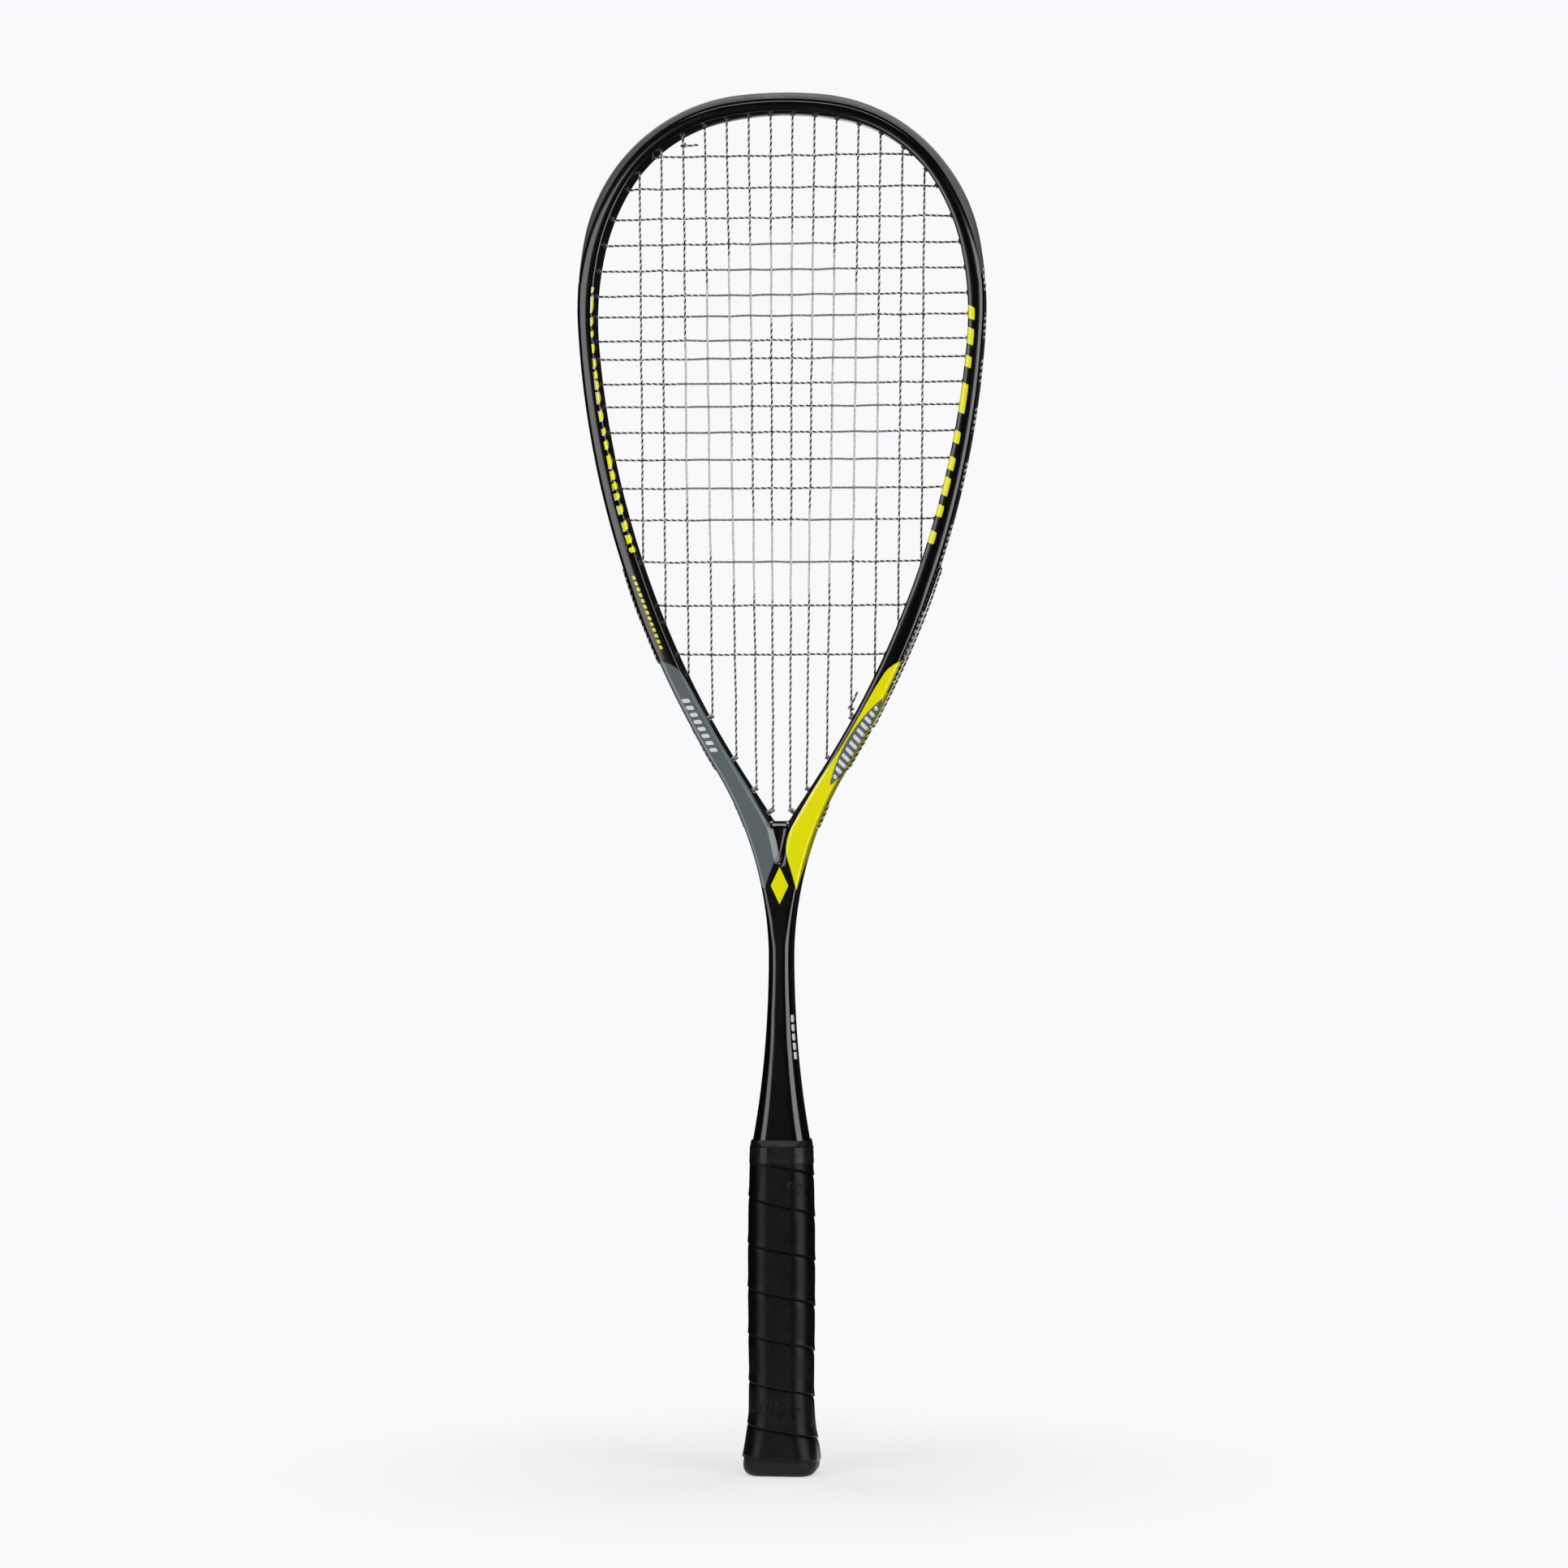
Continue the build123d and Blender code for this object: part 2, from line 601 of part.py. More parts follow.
with BuildPart() as handle_pallet:
    add(pallet_body)
    add(pallet_plug)
    with BuildSketch(Plane.XY):
        RectangleRounded(CORE_WIDTH + 2 * FIT, CORE_DEPTH + 2 * FIT, CORE_RADIUS + FIT)
    extrude(amount=LENGTH, mode=Mode.SUBTRACT)
    add(butt_cap_staples.part, mode=Mode.SUBTRACT)

with BuildPart() as grip_tape:
    add(grip_outside)
    add(grip_inside, mode=Mode.SUBTRACT)

with BuildPart() as finishing_tape:
    add(band_outside)
    add(band_inside, mode=Mode.SUBTRACT)

with BuildPart() as grip_collar:
    _, grip_width, grip_depth = HANDLE_SECTIONS[-1]
    with BuildSketch(Plane.XY.offset(shaft_end + FIT)):
        RectangleRounded(grip_width, grip_depth, HANDLE_CORNER)
    with BuildSketch(Plane.XY.offset(GRIP_TOP + COLLAR_HEIGHT)):
        RectangleRounded(COLLAR_TOP_WIDTH, COLLAR_TOP_DEPTH, COLLAR_TOP_CORNER)
    loft()
    add(blank.part, mode=Mode.SUBTRACT)

# ---------------------------------------------------------------- write every piece
pieces = {
    "frame": frame,
    "bumper_guard": bumper_guard,
    "throat_grommets": throat_grommets,
    "string": string,
    "handle_pallet": handle_pallet,
    "butt_cap": butt_cap,
    "butt_cap_staples": butt_cap_staples,
    "grip_tape": grip_tape,
    "finishing_tape": finishing_tape,
    "grip_collar": grip_collar,
}
pieces.update(strips)
for name, piece in pieces.items():
    piece.part.label = name
    export_step(piece.part, "parts/" + name + ".step")
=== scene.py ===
import math

import bpy
import numpy as np
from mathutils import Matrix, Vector


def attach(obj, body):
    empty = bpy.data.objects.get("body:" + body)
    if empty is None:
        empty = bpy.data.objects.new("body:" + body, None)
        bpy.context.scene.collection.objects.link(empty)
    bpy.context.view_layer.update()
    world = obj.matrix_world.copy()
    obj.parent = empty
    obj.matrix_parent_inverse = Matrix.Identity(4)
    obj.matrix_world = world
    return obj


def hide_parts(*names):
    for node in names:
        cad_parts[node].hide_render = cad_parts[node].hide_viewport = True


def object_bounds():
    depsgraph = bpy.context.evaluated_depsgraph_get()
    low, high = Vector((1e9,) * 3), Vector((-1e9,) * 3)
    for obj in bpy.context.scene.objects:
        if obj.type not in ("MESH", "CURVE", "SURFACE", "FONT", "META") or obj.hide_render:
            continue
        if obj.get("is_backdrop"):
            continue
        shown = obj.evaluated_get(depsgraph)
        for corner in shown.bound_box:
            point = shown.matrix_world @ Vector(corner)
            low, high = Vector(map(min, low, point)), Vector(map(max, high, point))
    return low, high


# A squash racket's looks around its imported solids. Shapes are worked out in millimetres in the row's
# frame and become metres when a mesh is made.

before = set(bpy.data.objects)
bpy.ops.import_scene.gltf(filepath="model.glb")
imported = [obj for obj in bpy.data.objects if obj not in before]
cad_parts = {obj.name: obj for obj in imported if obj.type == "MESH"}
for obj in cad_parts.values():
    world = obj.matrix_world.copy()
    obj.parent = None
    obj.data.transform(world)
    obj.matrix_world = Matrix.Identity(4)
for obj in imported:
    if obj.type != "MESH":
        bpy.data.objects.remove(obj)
cad_low, cad_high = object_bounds()
MM = 0.001
LENGTH = (cad_high.z - cad_low.z) / MM

# ---------------------------------------------------------------- outlines, as the solids have them
GUARD_ARCS = [(206.5, 5.8), (87.85, 73.25), (185.0, 10.95)]
FRAME_ARCS = [(172.0, 8.75), (81.4, 47.9), (120.0, 33.35)]
ARM_ARCS = [(137.0, 3.15), (471.5, 28.5), (176.8, -31.65), (510.0, -10.6)]
HOLE_ARCS = [(145.0, 12.7), (71.6, 45.8), (105.0, 19.2), (151.5, 17.0), (464.7, 28.55), (2000.0, 0.6)]
FRAME_TOP = LENGTH - 3.3
HOLE_TOP = LENGTH - 9.5
HALF_DEPTH = 10.0
GUARD_END = 594.0
STRIP_END = 388.0
GROOVE_DEPTH = 1.6
GROOVE_HALF = 4.0
HEAD_CENTRE = 575.0
FOOT_RADIUS = 1.3
EVENING = 24


def trace(top, arcs):
    """Each arc as (centre x, centre z, radius, side, heading in, heading out), headings in radians."""
    x, z, heading = 0.0, top, 0.0
    traced = []
    for radius, turn in arcs:
        side = 1 if turn > 0 else -1
        centre_x = x + side * radius * math.sin(heading)
        centre_z = z - side * radius * math.cos(heading)
        leaving = heading - math.radians(turn)
        traced.append((centre_x, centre_z, radius, side, heading, leaving))
        x = centre_x - side * radius * math.sin(leaving)
        z = centre_z + side * radius * math.cos(leaving)
        heading = leaving
    return traced


def end_of(chain):
    x, z, radius, side, _, leaving = chain[-1]
    return x - side * radius * math.sin(leaving), z + side * radius * math.cos(leaving)


def grown(chain, distance):
    return [(x, z, radius + side * distance, side, a, b) for x, z, radius, side, a, b in chain]


def half_width(chain, height):
    """Half width and heading at a height, or None above or below the outline."""
    for x, z, radius, side, entering, leaving in chain:
        high = z + side * radius * math.cos(entering)
        low = z + side * radius * math.cos(leaving)
        if low <= height <= high:
            heading = -math.acos(side * (height - z) / radius)
            return x - side * radius * math.sin(heading), heading
    return None


def inside(chain, x, z):
    found = half_width(chain, z)
    return found is not None and abs(x) < found[0]


def reach(chain, start, direction):
    """The point where a ray from inside the outline leaves it."""
    near, far = 0.0, 300.0
    for _ in range(50):
        middle = (near + far) / 2
        if inside(chain, start[0] + direction[0] * middle, start[1] + direction[1] * middle):
            near = middle
        else:
            far = middle
    return start[0] + direction[0] * near, start[1] + direction[1] * near


def walk(chain, step):
    """Points along a chain, one row each: x and z."""
    rows = []
    for x, z, radius, side, entering, leaving in chain:
        count = max(2, math.ceil(radius * abs(leaving - entering) / step))
        headings = np.linspace(entering, leaving, count + 1)[:-1]
        rows.append(np.stack([x - side * radius * np.sin(headings), z + side * radius * np.cos(headings)], 1))
    rows.append(np.array([end_of(chain)]))
    return np.vstack(rows)


def distance_to(chain, x, z):
    """Distance of each point from a chain's right half."""
    x = np.abs(x)
    best = np.full(x.shape, 1e3)
    for cx, cz, radius, side, entering, leaving in chain:
        away = np.hypot(x - cx, z - cz)
        heading = np.arctan2(-side * (x - cx), side * (z - cz))
        slack = 0.02 / radius
        here = (heading <= max(entering, leaving) + slack) & (heading >= min(entering, leaving) - slack)
        best = np.where(here, np.minimum(best, np.abs(away - radius)), best)
    if chain is hole_rim:
        foot = np.hypot(np.maximum(x - corner_x, 0), z - HOLE_FOOT)
        best = np.where(x <= corner_x, np.minimum(best, foot), best)
    return best


guard_chain = trace(LENGTH, GUARD_ARCS + ARM_ARCS)
frame_chain = trace(FRAME_TOP, FRAME_ARCS + ARM_ARCS)
hole_chain = trace(HOLE_TOP, HOLE_ARCS)
rim_arcs = trace(HOLE_TOP, HOLE_ARCS[:-1] + [(2000.0, 0.7375)])
foot_x, foot_z = end_of(rim_arcs)
foot_heading = rim_arcs[-1][5]
corner_x = foot_x + FOOT_RADIUS * math.sin(foot_heading)
corner_z = foot_z - FOOT_RADIUS * math.cos(foot_heading)
hole_rim = rim_arcs + [(corner_x, corner_z, FOOT_RADIUS, 1, foot_heading, -math.pi)]
SHAFT_END = end_of(guard_chain)[1]
HOLE_FOOT = corner_z - FOOT_RADIUS


# ---------------------------------------------------------------- meshes and materials
def add_piece(name, points, faces, material, replaced=(), values=None, sharp=None):
    """A mesh object from points in millimetres, riding on the racket's one body."""
    mesh = bpy.data.meshes.new(name)
    points = np.asarray(points, float)
    mesh.from_pydata((points * MM).tolist(), [], faces)
    for key, column in (values or {}).items():
        attribute = mesh.attributes.new(key, "FLOAT", "POINT")
        attribute.data.foreach_set("value", np.asarray(column, np.float32))
    mesh.polygons.foreach_set("use_smooth", [True] * len(mesh.polygons))
    mesh.update()
    if sharp is not None:
        mesh.set_sharp_from_angle(angle=math.radians(sharp))
    mesh.materials.append(material)
    piece = bpy.data.objects.new(name, mesh)
    bpy.context.scene.collection.objects.link(piece)
    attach(piece, "root")
    if replaced:
        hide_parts(*replaced)
    return piece


def grid_faces(rows, columns, close_columns=False, start=0):
    """Quads of a grid of points stored row by row."""
    faces = []
    last = columns if close_columns else columns - 1
    for i in range(rows - 1):
        for j in range(last):
            k = (j + 1) % columns
            a, b = start + i * columns, start + (i + 1) * columns
            faces.append((a + j, a + k, b + k, b + j))
    return faces


class Shader:
    """A material's node tree with short calls for the nodes used here."""

    def __init__(self, name, color=(0.1, 0.1, 0.1), roughness=0.5, **settings):
        self.material = bpy.data.materials.new(name)
        self.material.use_nodes = True
        self.tree = self.material.node_tree
        self.shader = self.tree.nodes["Principled BSDF"]
        self.shader.inputs["Base Color"].default_value = (*color, 1)
        self.shader.inputs["Roughness"].default_value = roughness
        for key, value in settings.items():
            self.shader.inputs[key.replace("_", " ")].default_value = value
        self.place = self.node("ShaderNodeTexCoord").outputs["Object"]

    def node(self, kind, **settings):
        made = self.tree.nodes.new(kind)
        for key, value in settings.items():
            setattr(made, key, value)
        return made

    def put(self, socket, value):
        if isinstance(value, bpy.types.NodeSocket):
            self.tree.links.new(value, socket)
        elif hasattr(value, "__len__"):
            colour = len(value) == 3 and len(socket.default_value) == 4
            socket.default_value = (*value, 1) if colour else value
        else:
            socket.default_value = value

    def math(self, operation, *values):
        made = self.node("ShaderNodeMath", operation=operation)
        for socket, value in zip(made.inputs, values):
            self.put(socket, value)
        return made.outputs[0]

    def noise(self, scale, detail=2.0, roughness=0.5, vector=None, distortion=0.0):
        made = self.node("ShaderNodeTexNoise")
        self.put(made.inputs["Vector"], vector or self.place)
        made.inputs["Scale"].default_value = scale
        made.inputs["Detail"].default_value = detail
        made.inputs["Roughness"].default_value = roughness
        made.inputs["Distortion"].default_value = distortion
        return made.outputs["Fac"]

    def between(self, value, low, high, to_low=0.0, to_high=1.0):
        made = self.node("ShaderNodeMapRange")
        for socket, number in zip(made.inputs, (value, low, high, to_low, to_high)):
            self.put(socket, number)
        return made.outputs[0]

    def mix(self, factor, first, second):
        made = self.node("ShaderNodeMix", data_type="RGBA")
        self.put(made.inputs["Factor"], factor)
        self.put(made.inputs[6], first)
        self.put(made.inputs[7], second)
        return made.outputs[2]

    def value(self, name):
        return self.node("ShaderNodeAttribute", attribute_name=name).outputs["Fac"]

    def mask(self, name, edge=0.09):
        """One inside a painted shape and nought outside it, from its signed distance in millimetres."""
        return self.between(self.value(name), -edge, edge)

    def bump(self, height, distance, strength=1.0, under=None):
        made = self.node("ShaderNodeBump")
        made.inputs["Strength"].default_value = strength
        made.inputs["Distance"].default_value = distance
        self.put(made.inputs["Height"], height)
        if under is not None:
            self.put(made.inputs["Normal"], under)
        return made.outputs["Normal"]

    def finish(self, color=None, roughness=None, normal=None):
        for key, value in (("Base Color", color), ("Roughness", roughness), ("Normal", normal)):
            if value is not None:
                self.put(self.shader.inputs[key], value)
        return self.material


YELLOW = (0.86, 0.815, 0.001)
GREY = (0.105, 0.13, 0.137)
PALE = (0.76, 0.78, 0.79)
BLACK = (0.0008, 0.0008, 0.0009)

lacquer = Shader("lacquer", BLACK, 0.17, Coat_Weight=0.8, Coat_Roughness=0.13, IOR=1.55)
flakes = lacquer.between(lacquer.noise(6000, 1.0), 0.3, 0.7, 0.96, 1.04)
coats = lacquer.mix(lacquer.mask("grey"), BLACK, GREY)
coats = lacquer.mix(lacquer.mask("yellow"), coats, YELLOW)
coats = lacquer.mix(lacquer.mask("plate"), coats, GREY)
coats = lacquer.mix(lacquer.mask("pale"), coats, PALE)
flecked = lacquer.node("ShaderNodeMix", data_type="RGBA", blend_type="MULTIPLY")
flecked.inputs["Factor"].default_value = 1.0
lacquer.put(flecked.inputs[6], coats)
lacquer.put(flecked.inputs[7], flakes)
print_edge = lacquer.math("ADD", lacquer.mask("yellow", 0.2), lacquer.mask("pale", 0.2))
peel = lacquer.bump(lacquer.noise(260, 1.0), 0.00001, 0.3)
lacquer_material = lacquer.finish(
    flecked.outputs[2],
    lacquer.between(lacquer.noise(60, 3.0), 0.3, 0.7, 0.15, 0.19),
    lacquer.bump(print_edge, 0.00002, 0.5, peel),
)

guard = Shader("guard_nylon", (0.07, 0.07, 0.072), 0.5)
guard_material = guard.finish(
    guard.mix(guard.noise(90, 4.0), (0.055, 0.055, 0.057), (0.085, 0.085, 0.087)),
    guard.between(guard.noise(140, 3.0), 0.3, 0.7, 0.42, 0.58),
    guard.bump(guard.noise(1500, 2.0), 0.00006, 0.5),
)

strip = Shader("strip_nylon", (0.02, 0.02, 0.021), 0.42)
strip_material = strip.finish(
    strip.mix(strip.noise(120, 3.0), (0.014, 0.014, 0.015), (0.028, 0.028, 0.03)),
    strip.between(strip.noise(200, 2.0), 0.3, 0.7, 0.36, 0.5),
    strip.bump(strip.noise(1800, 2.0), 0.00004, 0.4),
)

tube = Shader("clear_nylon", (0.95, 0.95, 0.94), 0.12, Transmission_Weight=0.93, IOR=1.3)
tube_material = tube.finish(
    tube.mix(tube.noise(500, 3.0), (0.86, 0.86, 0.85), (0.97, 0.97, 0.96)),
    tube.between(tube.noise(700, 2.0), 0.3, 0.7, 0.08, 0.2),
    tube.bump(tube.noise(900, 2.0), 0.00003, 0.3),
)

foam = Shader("pallet_foam", (0.02, 0.02, 0.02), 0.8)
foam_material = foam.finish(
    foam.mix(foam.noise(700, 4.0), (0.012, 0.012, 0.012), (0.035, 0.035, 0.035)),
    foam.between(foam.noise(400, 2.0), 0.3, 0.7, 0.7, 0.9),
    foam.bump(foam.noise(1400, 3.0), 0.0002, 0.6),
)

steel = Shader("staple_steel", (0.55, 0.55, 0.56), 0.32, Metallic=1.0)
steel_material = steel.finish(
    steel.mix(steel.noise(1200, 3.0), (0.45, 0.45, 0.46), (0.62, 0.62, 0.63)),
    steel.between(steel.noise(1500, 2.0), 0.3, 0.7, 0.25, 0.42),
    steel.bump(steel.noise(2500, 2.0), 0.00002, 0.3),
)

collar = Shader("collar_rubber", (0.003, 0.003, 0.003), 0.36, Specular_IOR_Level=0.15)
collar_material = collar.finish(
    collar.mix(collar.noise(300, 3.0), (0.002, 0.002, 0.002), (0.004, 0.004, 0.004)),
    collar.between(collar.noise(260, 2.0), 0.3, 0.7, 0.3, 0.44),
    collar.bump(collar.noise(1500, 2.0), 0.00004, 0.4),
)

for node, material in (
    ("bumper_guard", guard_material),
    ("grommet_strip_left", strip_material),
    ("grommet_strip_right", strip_material),
    ("throat_grommets", tube_material),
    ("handle_pallet", foam_material),
    ("butt_cap_staples", steel_material),
    ("grip_collar", collar_material),
):
    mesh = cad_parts[node].data
    mesh.materials.clear()
    mesh.materials.append(material)


# ---------------------------------------------------------------- painted shapes as signed distances
def polygon(corners, x, z):
    """Distance inside a closed polygon, negative outside it."""
    corners = np.asarray(corners, float)
    best = np.full(x.shape, 1e6)
    crossings = np.zeros(x.shape, int)
    for (ax, az), (bx, bz) in zip(corners, np.roll(corners, -1, axis=0)):
        ex, ez = bx - ax, bz - az
        share = np.clip(((x - ax) * ex + (z - az) * ez) / (ex * ex + ez * ez), 0, 1)
        best = np.minimum(best, np.hypot(x - ax - share * ex, z - az - share * ez))
        if abs(ez) > 1e-9:
            crossed = ((az > z) != (bz > z)) & (x < ax + (z - az) * ex / ez)
            crossings += crossed
    return np.where(crossings % 2 == 1, best, -best)


def rounded(corners, x, z):
    """A polygon with its corners cut twice, so that its outline reads as a curve."""
    corners = np.asarray(corners, float)
    for _ in range(2):
        following = np.roll(corners, -1, axis=0)
        pairs = np.stack([0.8 * corners + 0.2 * following, 0.2 * corners + 0.8 * following], 1)
        corners = pairs.reshape(-1, 2)
    return polygon(corners, x, z)


def dashes(start, end, x, z, width, pitch, share, slant=0.0):
    """A row of equal slanted dashes along a line."""
    (ax, az), (bx, bz) = start, end
    length = math.hypot(bx - ax, bz - az)
    along = ((x - ax) * (bx - ax) + (z - az) * (bz - az)) / length
    across = ((x - ax) * (bz - az) - (z - az) * (bx - ax)) / length
    along = along + slant * across
    local = np.abs(np.mod(along, pitch) - pitch / 2)
    dash = pitch * share / 2 - local
    return np.minimum.reduce([dash, width / 2 - np.abs(across), along, length - along])


def lens(start, end, half, x, z):
    """A pointed oval between two points."""
    (ax, az), (bx, bz) = start, end
    reach_half = math.hypot(bx - ax, bz - az) / 2
    ux, uz = (bx - ax) / (2 * reach_half), (bz - az) / (2 * reach_half)
    along = (x - (ax + bx) / 2) * ux + (z - (az + bz) / 2) * uz
    across = np.abs((x - (ax + bx) / 2) * uz - (z - (az + bz) / 2) * ux)
    radius = (reach_half**2 + half**2) / (2 * half)
    return radius - np.hypot(along, across + radius - half)


# ---------------------------------------------------------------- frame shell
def shell():
    """The right half of the frame as rows of a closed section, from the top centre down to the grip."""
    foot = np.stack([np.linspace(corner_x, 0.0, 6)[1:], np.full(5, HOLE_FOOT)], 1)
    rim = np.vstack([walk(hole_rim, 0.8), foot])
    centre_line = np.stack([np.zeros(200), np.linspace(HOLE_FOOT, SHAFT_END, 201)[1:]], 1)
    inner = np.vstack([rim, centre_line])
    above = walk(frame_chain, 0.1)
    below = walk(guard_chain, 0.1)
    outer_path = np.vstack([above[above[:, 1] > GUARD_END], below[below[:, 1] <= GUARD_END]])
    # each row runs to the nearest outer point, evened out so that no two rows cross
    steps = np.array([float(np.argmin(np.hypot(outer_path[:, 0] - x, outer_path[:, 1] - z)))
                      for x, z in inner])
    level = np.array([float(np.argmin(np.abs(outer_path[:, 1] - z) + (outer_path[:, 1] > 500) * 1e3))
                      for x, z in inner])
    weight = np.clip((inner[:, 1] - SHAFT_END) / 60, 0, 1)
    steps = np.where(inner[:, 1] < HOLE_FOOT + 0.01, level + weight * (steps - level), steps)
    steps = np.maximum.accumulate(steps)
    padded = np.concatenate([np.full(EVENING, steps[0]), steps, np.full(EVENING, steps[-1])])
    window = 2 * EVENING + 1
    evened = np.convolve(padded, np.ones(window) / window, "valid")
    near_foot = np.clip(1.6 - np.abs(inner[:, 1] - 322.0) / 25.0, 0, 1)
    steps = steps + near_foot * (evened - steps)
    steps[0], steps[-1] = 0, len(outer_path) - 1
    outer = np.stack([np.interp(steps, np.arange(len(outer_path)), outer_path[:, k]) for k in (0, 1)], 1)
    ramp = np.array([0.0, 0.06, 0.22, 0.5, 0.95, 1.6, 2.45, 3.5])
    span = np.hypot(*(outer - inner).T)
    columns = []
    for width in span:
        edge = ramp * min(1.0, width / 7.3)
        middle = np.linspace(edge[-1], width - edge[-1], 17)[1:-1]
        offsets = np.concatenate([edge, middle, width - edge[::-1]])
        columns.append(offsets / width)
    share = np.array(columns)
    x = inner[:, :1] + (outer - inner)[:, :1] * share
    z = inner[:, 1:] + (outer - inner)[:, 1:] * share
    to_outer = distance_to(guard_chain, x, z)
    to_hole = distance_to(hole_rim, x, z)

    def drop(distance, radius):
        depth = np.clip(radius - distance, 0, radius)
        return radius - np.sqrt(radius**2 - depth**2)

    # a crowned face round the hoop, flat faces with tight edges on the arms and broad edges on the shaft
    crown = 2.2 * np.clip((z - 395.0) / 45.0, 0, 1)
    ridge = crown * (1 - np.sqrt(1 - (1.6 * (share - 0.4)) ** 2))
    half = np.interp(z, [SHAFT_END, 176.0, 229.0, 262.0], [7.3, 6.8, 4.15, 3.9])
    outer_radius = np.interp(z, [262.0, 285.0, 300.0, 395.0, 430.0], [1.0, 0.5, 0.35, 0.45, 0.2])
    outer_radius = np.where(z < 262.0, half, outer_radius * 3.9)
    inner_radius = np.interp(z, [326.0, 342.0, 360.0, 400.0, 440.0], [4.6, 3.2, 2.0, 2.0, 0.8])
    limit = 0.5 * span[:, None]
    beside_hole = np.arange(len(inner))[:, None] < len(rim)
    outer_radius = np.where(beside_hole, np.minimum(outer_radius, limit), outer_radius)
    inner_radius = np.minimum(inner_radius, limit)
    web = polygon([(-6.2, 329.0), (6.2, 329.0), (0.6, 304.0), (-0.6, 304.0)], x, z)
    sunk = np.clip((web + 2.2) / 4.0, 0, 1)
    sunk = sunk * sunk * (3 - 2 * sunk)
    depth = HALF_DEPTH - ridge - drop(to_outer, outer_radius) - drop(to_hole, inner_radius) - 2.0 * sunk
    across = outer - inner
    normal = across / np.hypot(across[:, 0], across[:, 1])[:, None]
    groove = np.where(outer[:, 1] > STRIP_END, GROOVE_DEPTH, 0.0)
    wall_x = [outer[:, 0], outer[:, 0] - normal[:, 0] * groove]
    wall_z = [outer[:, 1], outer[:, 1] - normal[:, 1] * groove]
    sides = [(0, -GROOVE_HALF), (1, -GROOVE_HALF), (1, GROOVE_HALF), (0, GROOVE_HALF)]
    full_x = np.concatenate([x] + [wall_x[k][:, None] for k, _ in sides] + [x[:, ::-1]], 1)
    full_z = np.concatenate([z] + [wall_z[k][:, None] for k, _ in sides] + [z[:, ::-1]], 1)
    wall_y = [np.full((len(inner), 1), y) for _, y in sides]
    full_y = np.concatenate([-depth] + wall_y + [depth[:, ::-1]], 1)
    along = np.concatenate([[0], np.cumsum(np.hypot(*np.diff(inner, axis=0).T))])
    full_along = np.repeat(along[:, None], full_x.shape[1], 1)
    return full_x, full_y, full_z, full_along, len(rim)


def shell_mesh():
    x, y, z, along, holes = shell()
    rows, columns = x.shape
    right = np.stack([x.ravel(), y.ravel(), z.ravel()], 1)
    faces = grid_faces(rows, columns)
    for i in range(holes - 1):
        a, b = i * columns, (i + 1) * columns
        faces.append((a + columns - 1, a, b, b + columns - 1))
    faces.append(tuple((rows - 1) * columns + j for j in range(columns)))
    count = len(right)
    left = right * np.array([-1.0, 1.0, 1.0])
    faces += [tuple(k + count for k in reversed(face)) for face in faces]
    points = np.vstack([right, left])
    travel = np.concatenate([along.ravel()] * 2)
    # join the halves where they meet on the centre line
    keys, kept, remap = {}, [], np.zeros(len(points), int)
    for index, (px, py, pz) in enumerate(points):
        if abs(px) < 1e-6:
            key = (0, round(py, 4), round(pz, 4))
            if key in keys:
                remap[index] = keys[key]
                continue
            keys[key] = len(kept)
        remap[index] = len(kept)
        kept.append(index)
    clean = []
    for face in faces:
        ring = [int(remap[k]) for k in face]
        ring = [k for n, k in enumerate(ring) if k != ring[n - 1]]
        if len(ring) > 2:
            clean.append(tuple(ring))
    return points[kept], clean, travel[kept]


points, faces, travel = shell_mesh()
px, py, pz = points.T
rim_gap = distance_to(hole_rim, px, pz)
outer_gap = distance_to(guard_chain, px, pz)

yellow_arm = rounded(
    [(68.0, 405.9), (63.2, 404.8), (57.9, 402.6), (53.3, 399.2), (49.3, 392.9), (47.0, 389.3), (39.7, 376.3),
     (31.2, 361.5), (23.9, 350.7), (16.2, 339.1), (8.9, 326.5), (5.4, 320.2), (3.7, 315.7), (3.2, 310.3),
     (4.1, 305.9), (6.3, 298.7), (8.5, 290.8), (9.3, 287.2), (10.4, 292.0), (13.6, 303.0), (15.9, 310.3),
     (19.2, 321.6), (24.8, 334.9), (31.5, 347.3), (52.0, 384.0), (68.0, 400.0)], px, pz)
# on the outer wall the yellow ends in a slant that climbs towards the back
wall_end = 296.0 + 0.8 * (py + 10.0)
yellow_arm = np.minimum(yellow_arm, outer_gap + 0.2 - 0.6 * np.clip((wall_end - pz) / 10.0, 0, 1))
grey_arm = rounded(
    [(-68.0, 404.9), (-62.8, 404.4), (-59.2, 403.7), (-55.5, 403.0), (-51.0, 400.4), (-47.8, 396.4),
     (-44.5, 390.7), (-37.6, 377.9), (-30.4, 365.0), (-22.3, 351.7), (-15.4, 340.9), (-9.3, 329.6),
     (-4.2, 321.2), (-1.3, 314.4), (-1.0, 309.3), (-1.6, 306.7), (-6.5, 294.3), (-6.9, 290.6), (-14.0, 296.0),
     (-24.0, 325.0), (-44.0, 360.0), (-68.0, 400.0)], px, pz)
mark = polygon([(0.2, 301.9), (4.6, 292.6), (0.2, 283.4), (-4.2, 292.6)], px, pz)
right_dashes = np.full(px.shape, -1e3)
for low, high in ((572.4, 578.8), (560.0, 568.0), (548.7, 554.3), (526.2, 540.7), (511.3, 517.3),
                  (498.1, 504.5), (485.6, 494.4), (475.1, 480.8), (461.9, 467.9)):
    lean = 0.45 * (rim_gap - 1.5)
    dash = np.minimum.reduce([pz + lean - low, high - pz - lean, 3.4 - rim_gap, 2.6 - py])
    right_dashes = np.maximum(right_dashes, np.where(px > 0, dash, -1e3))
band_width = np.interp(pz, [458.3, 520.0, 590.0], [2.6, 1.5, 0.7])
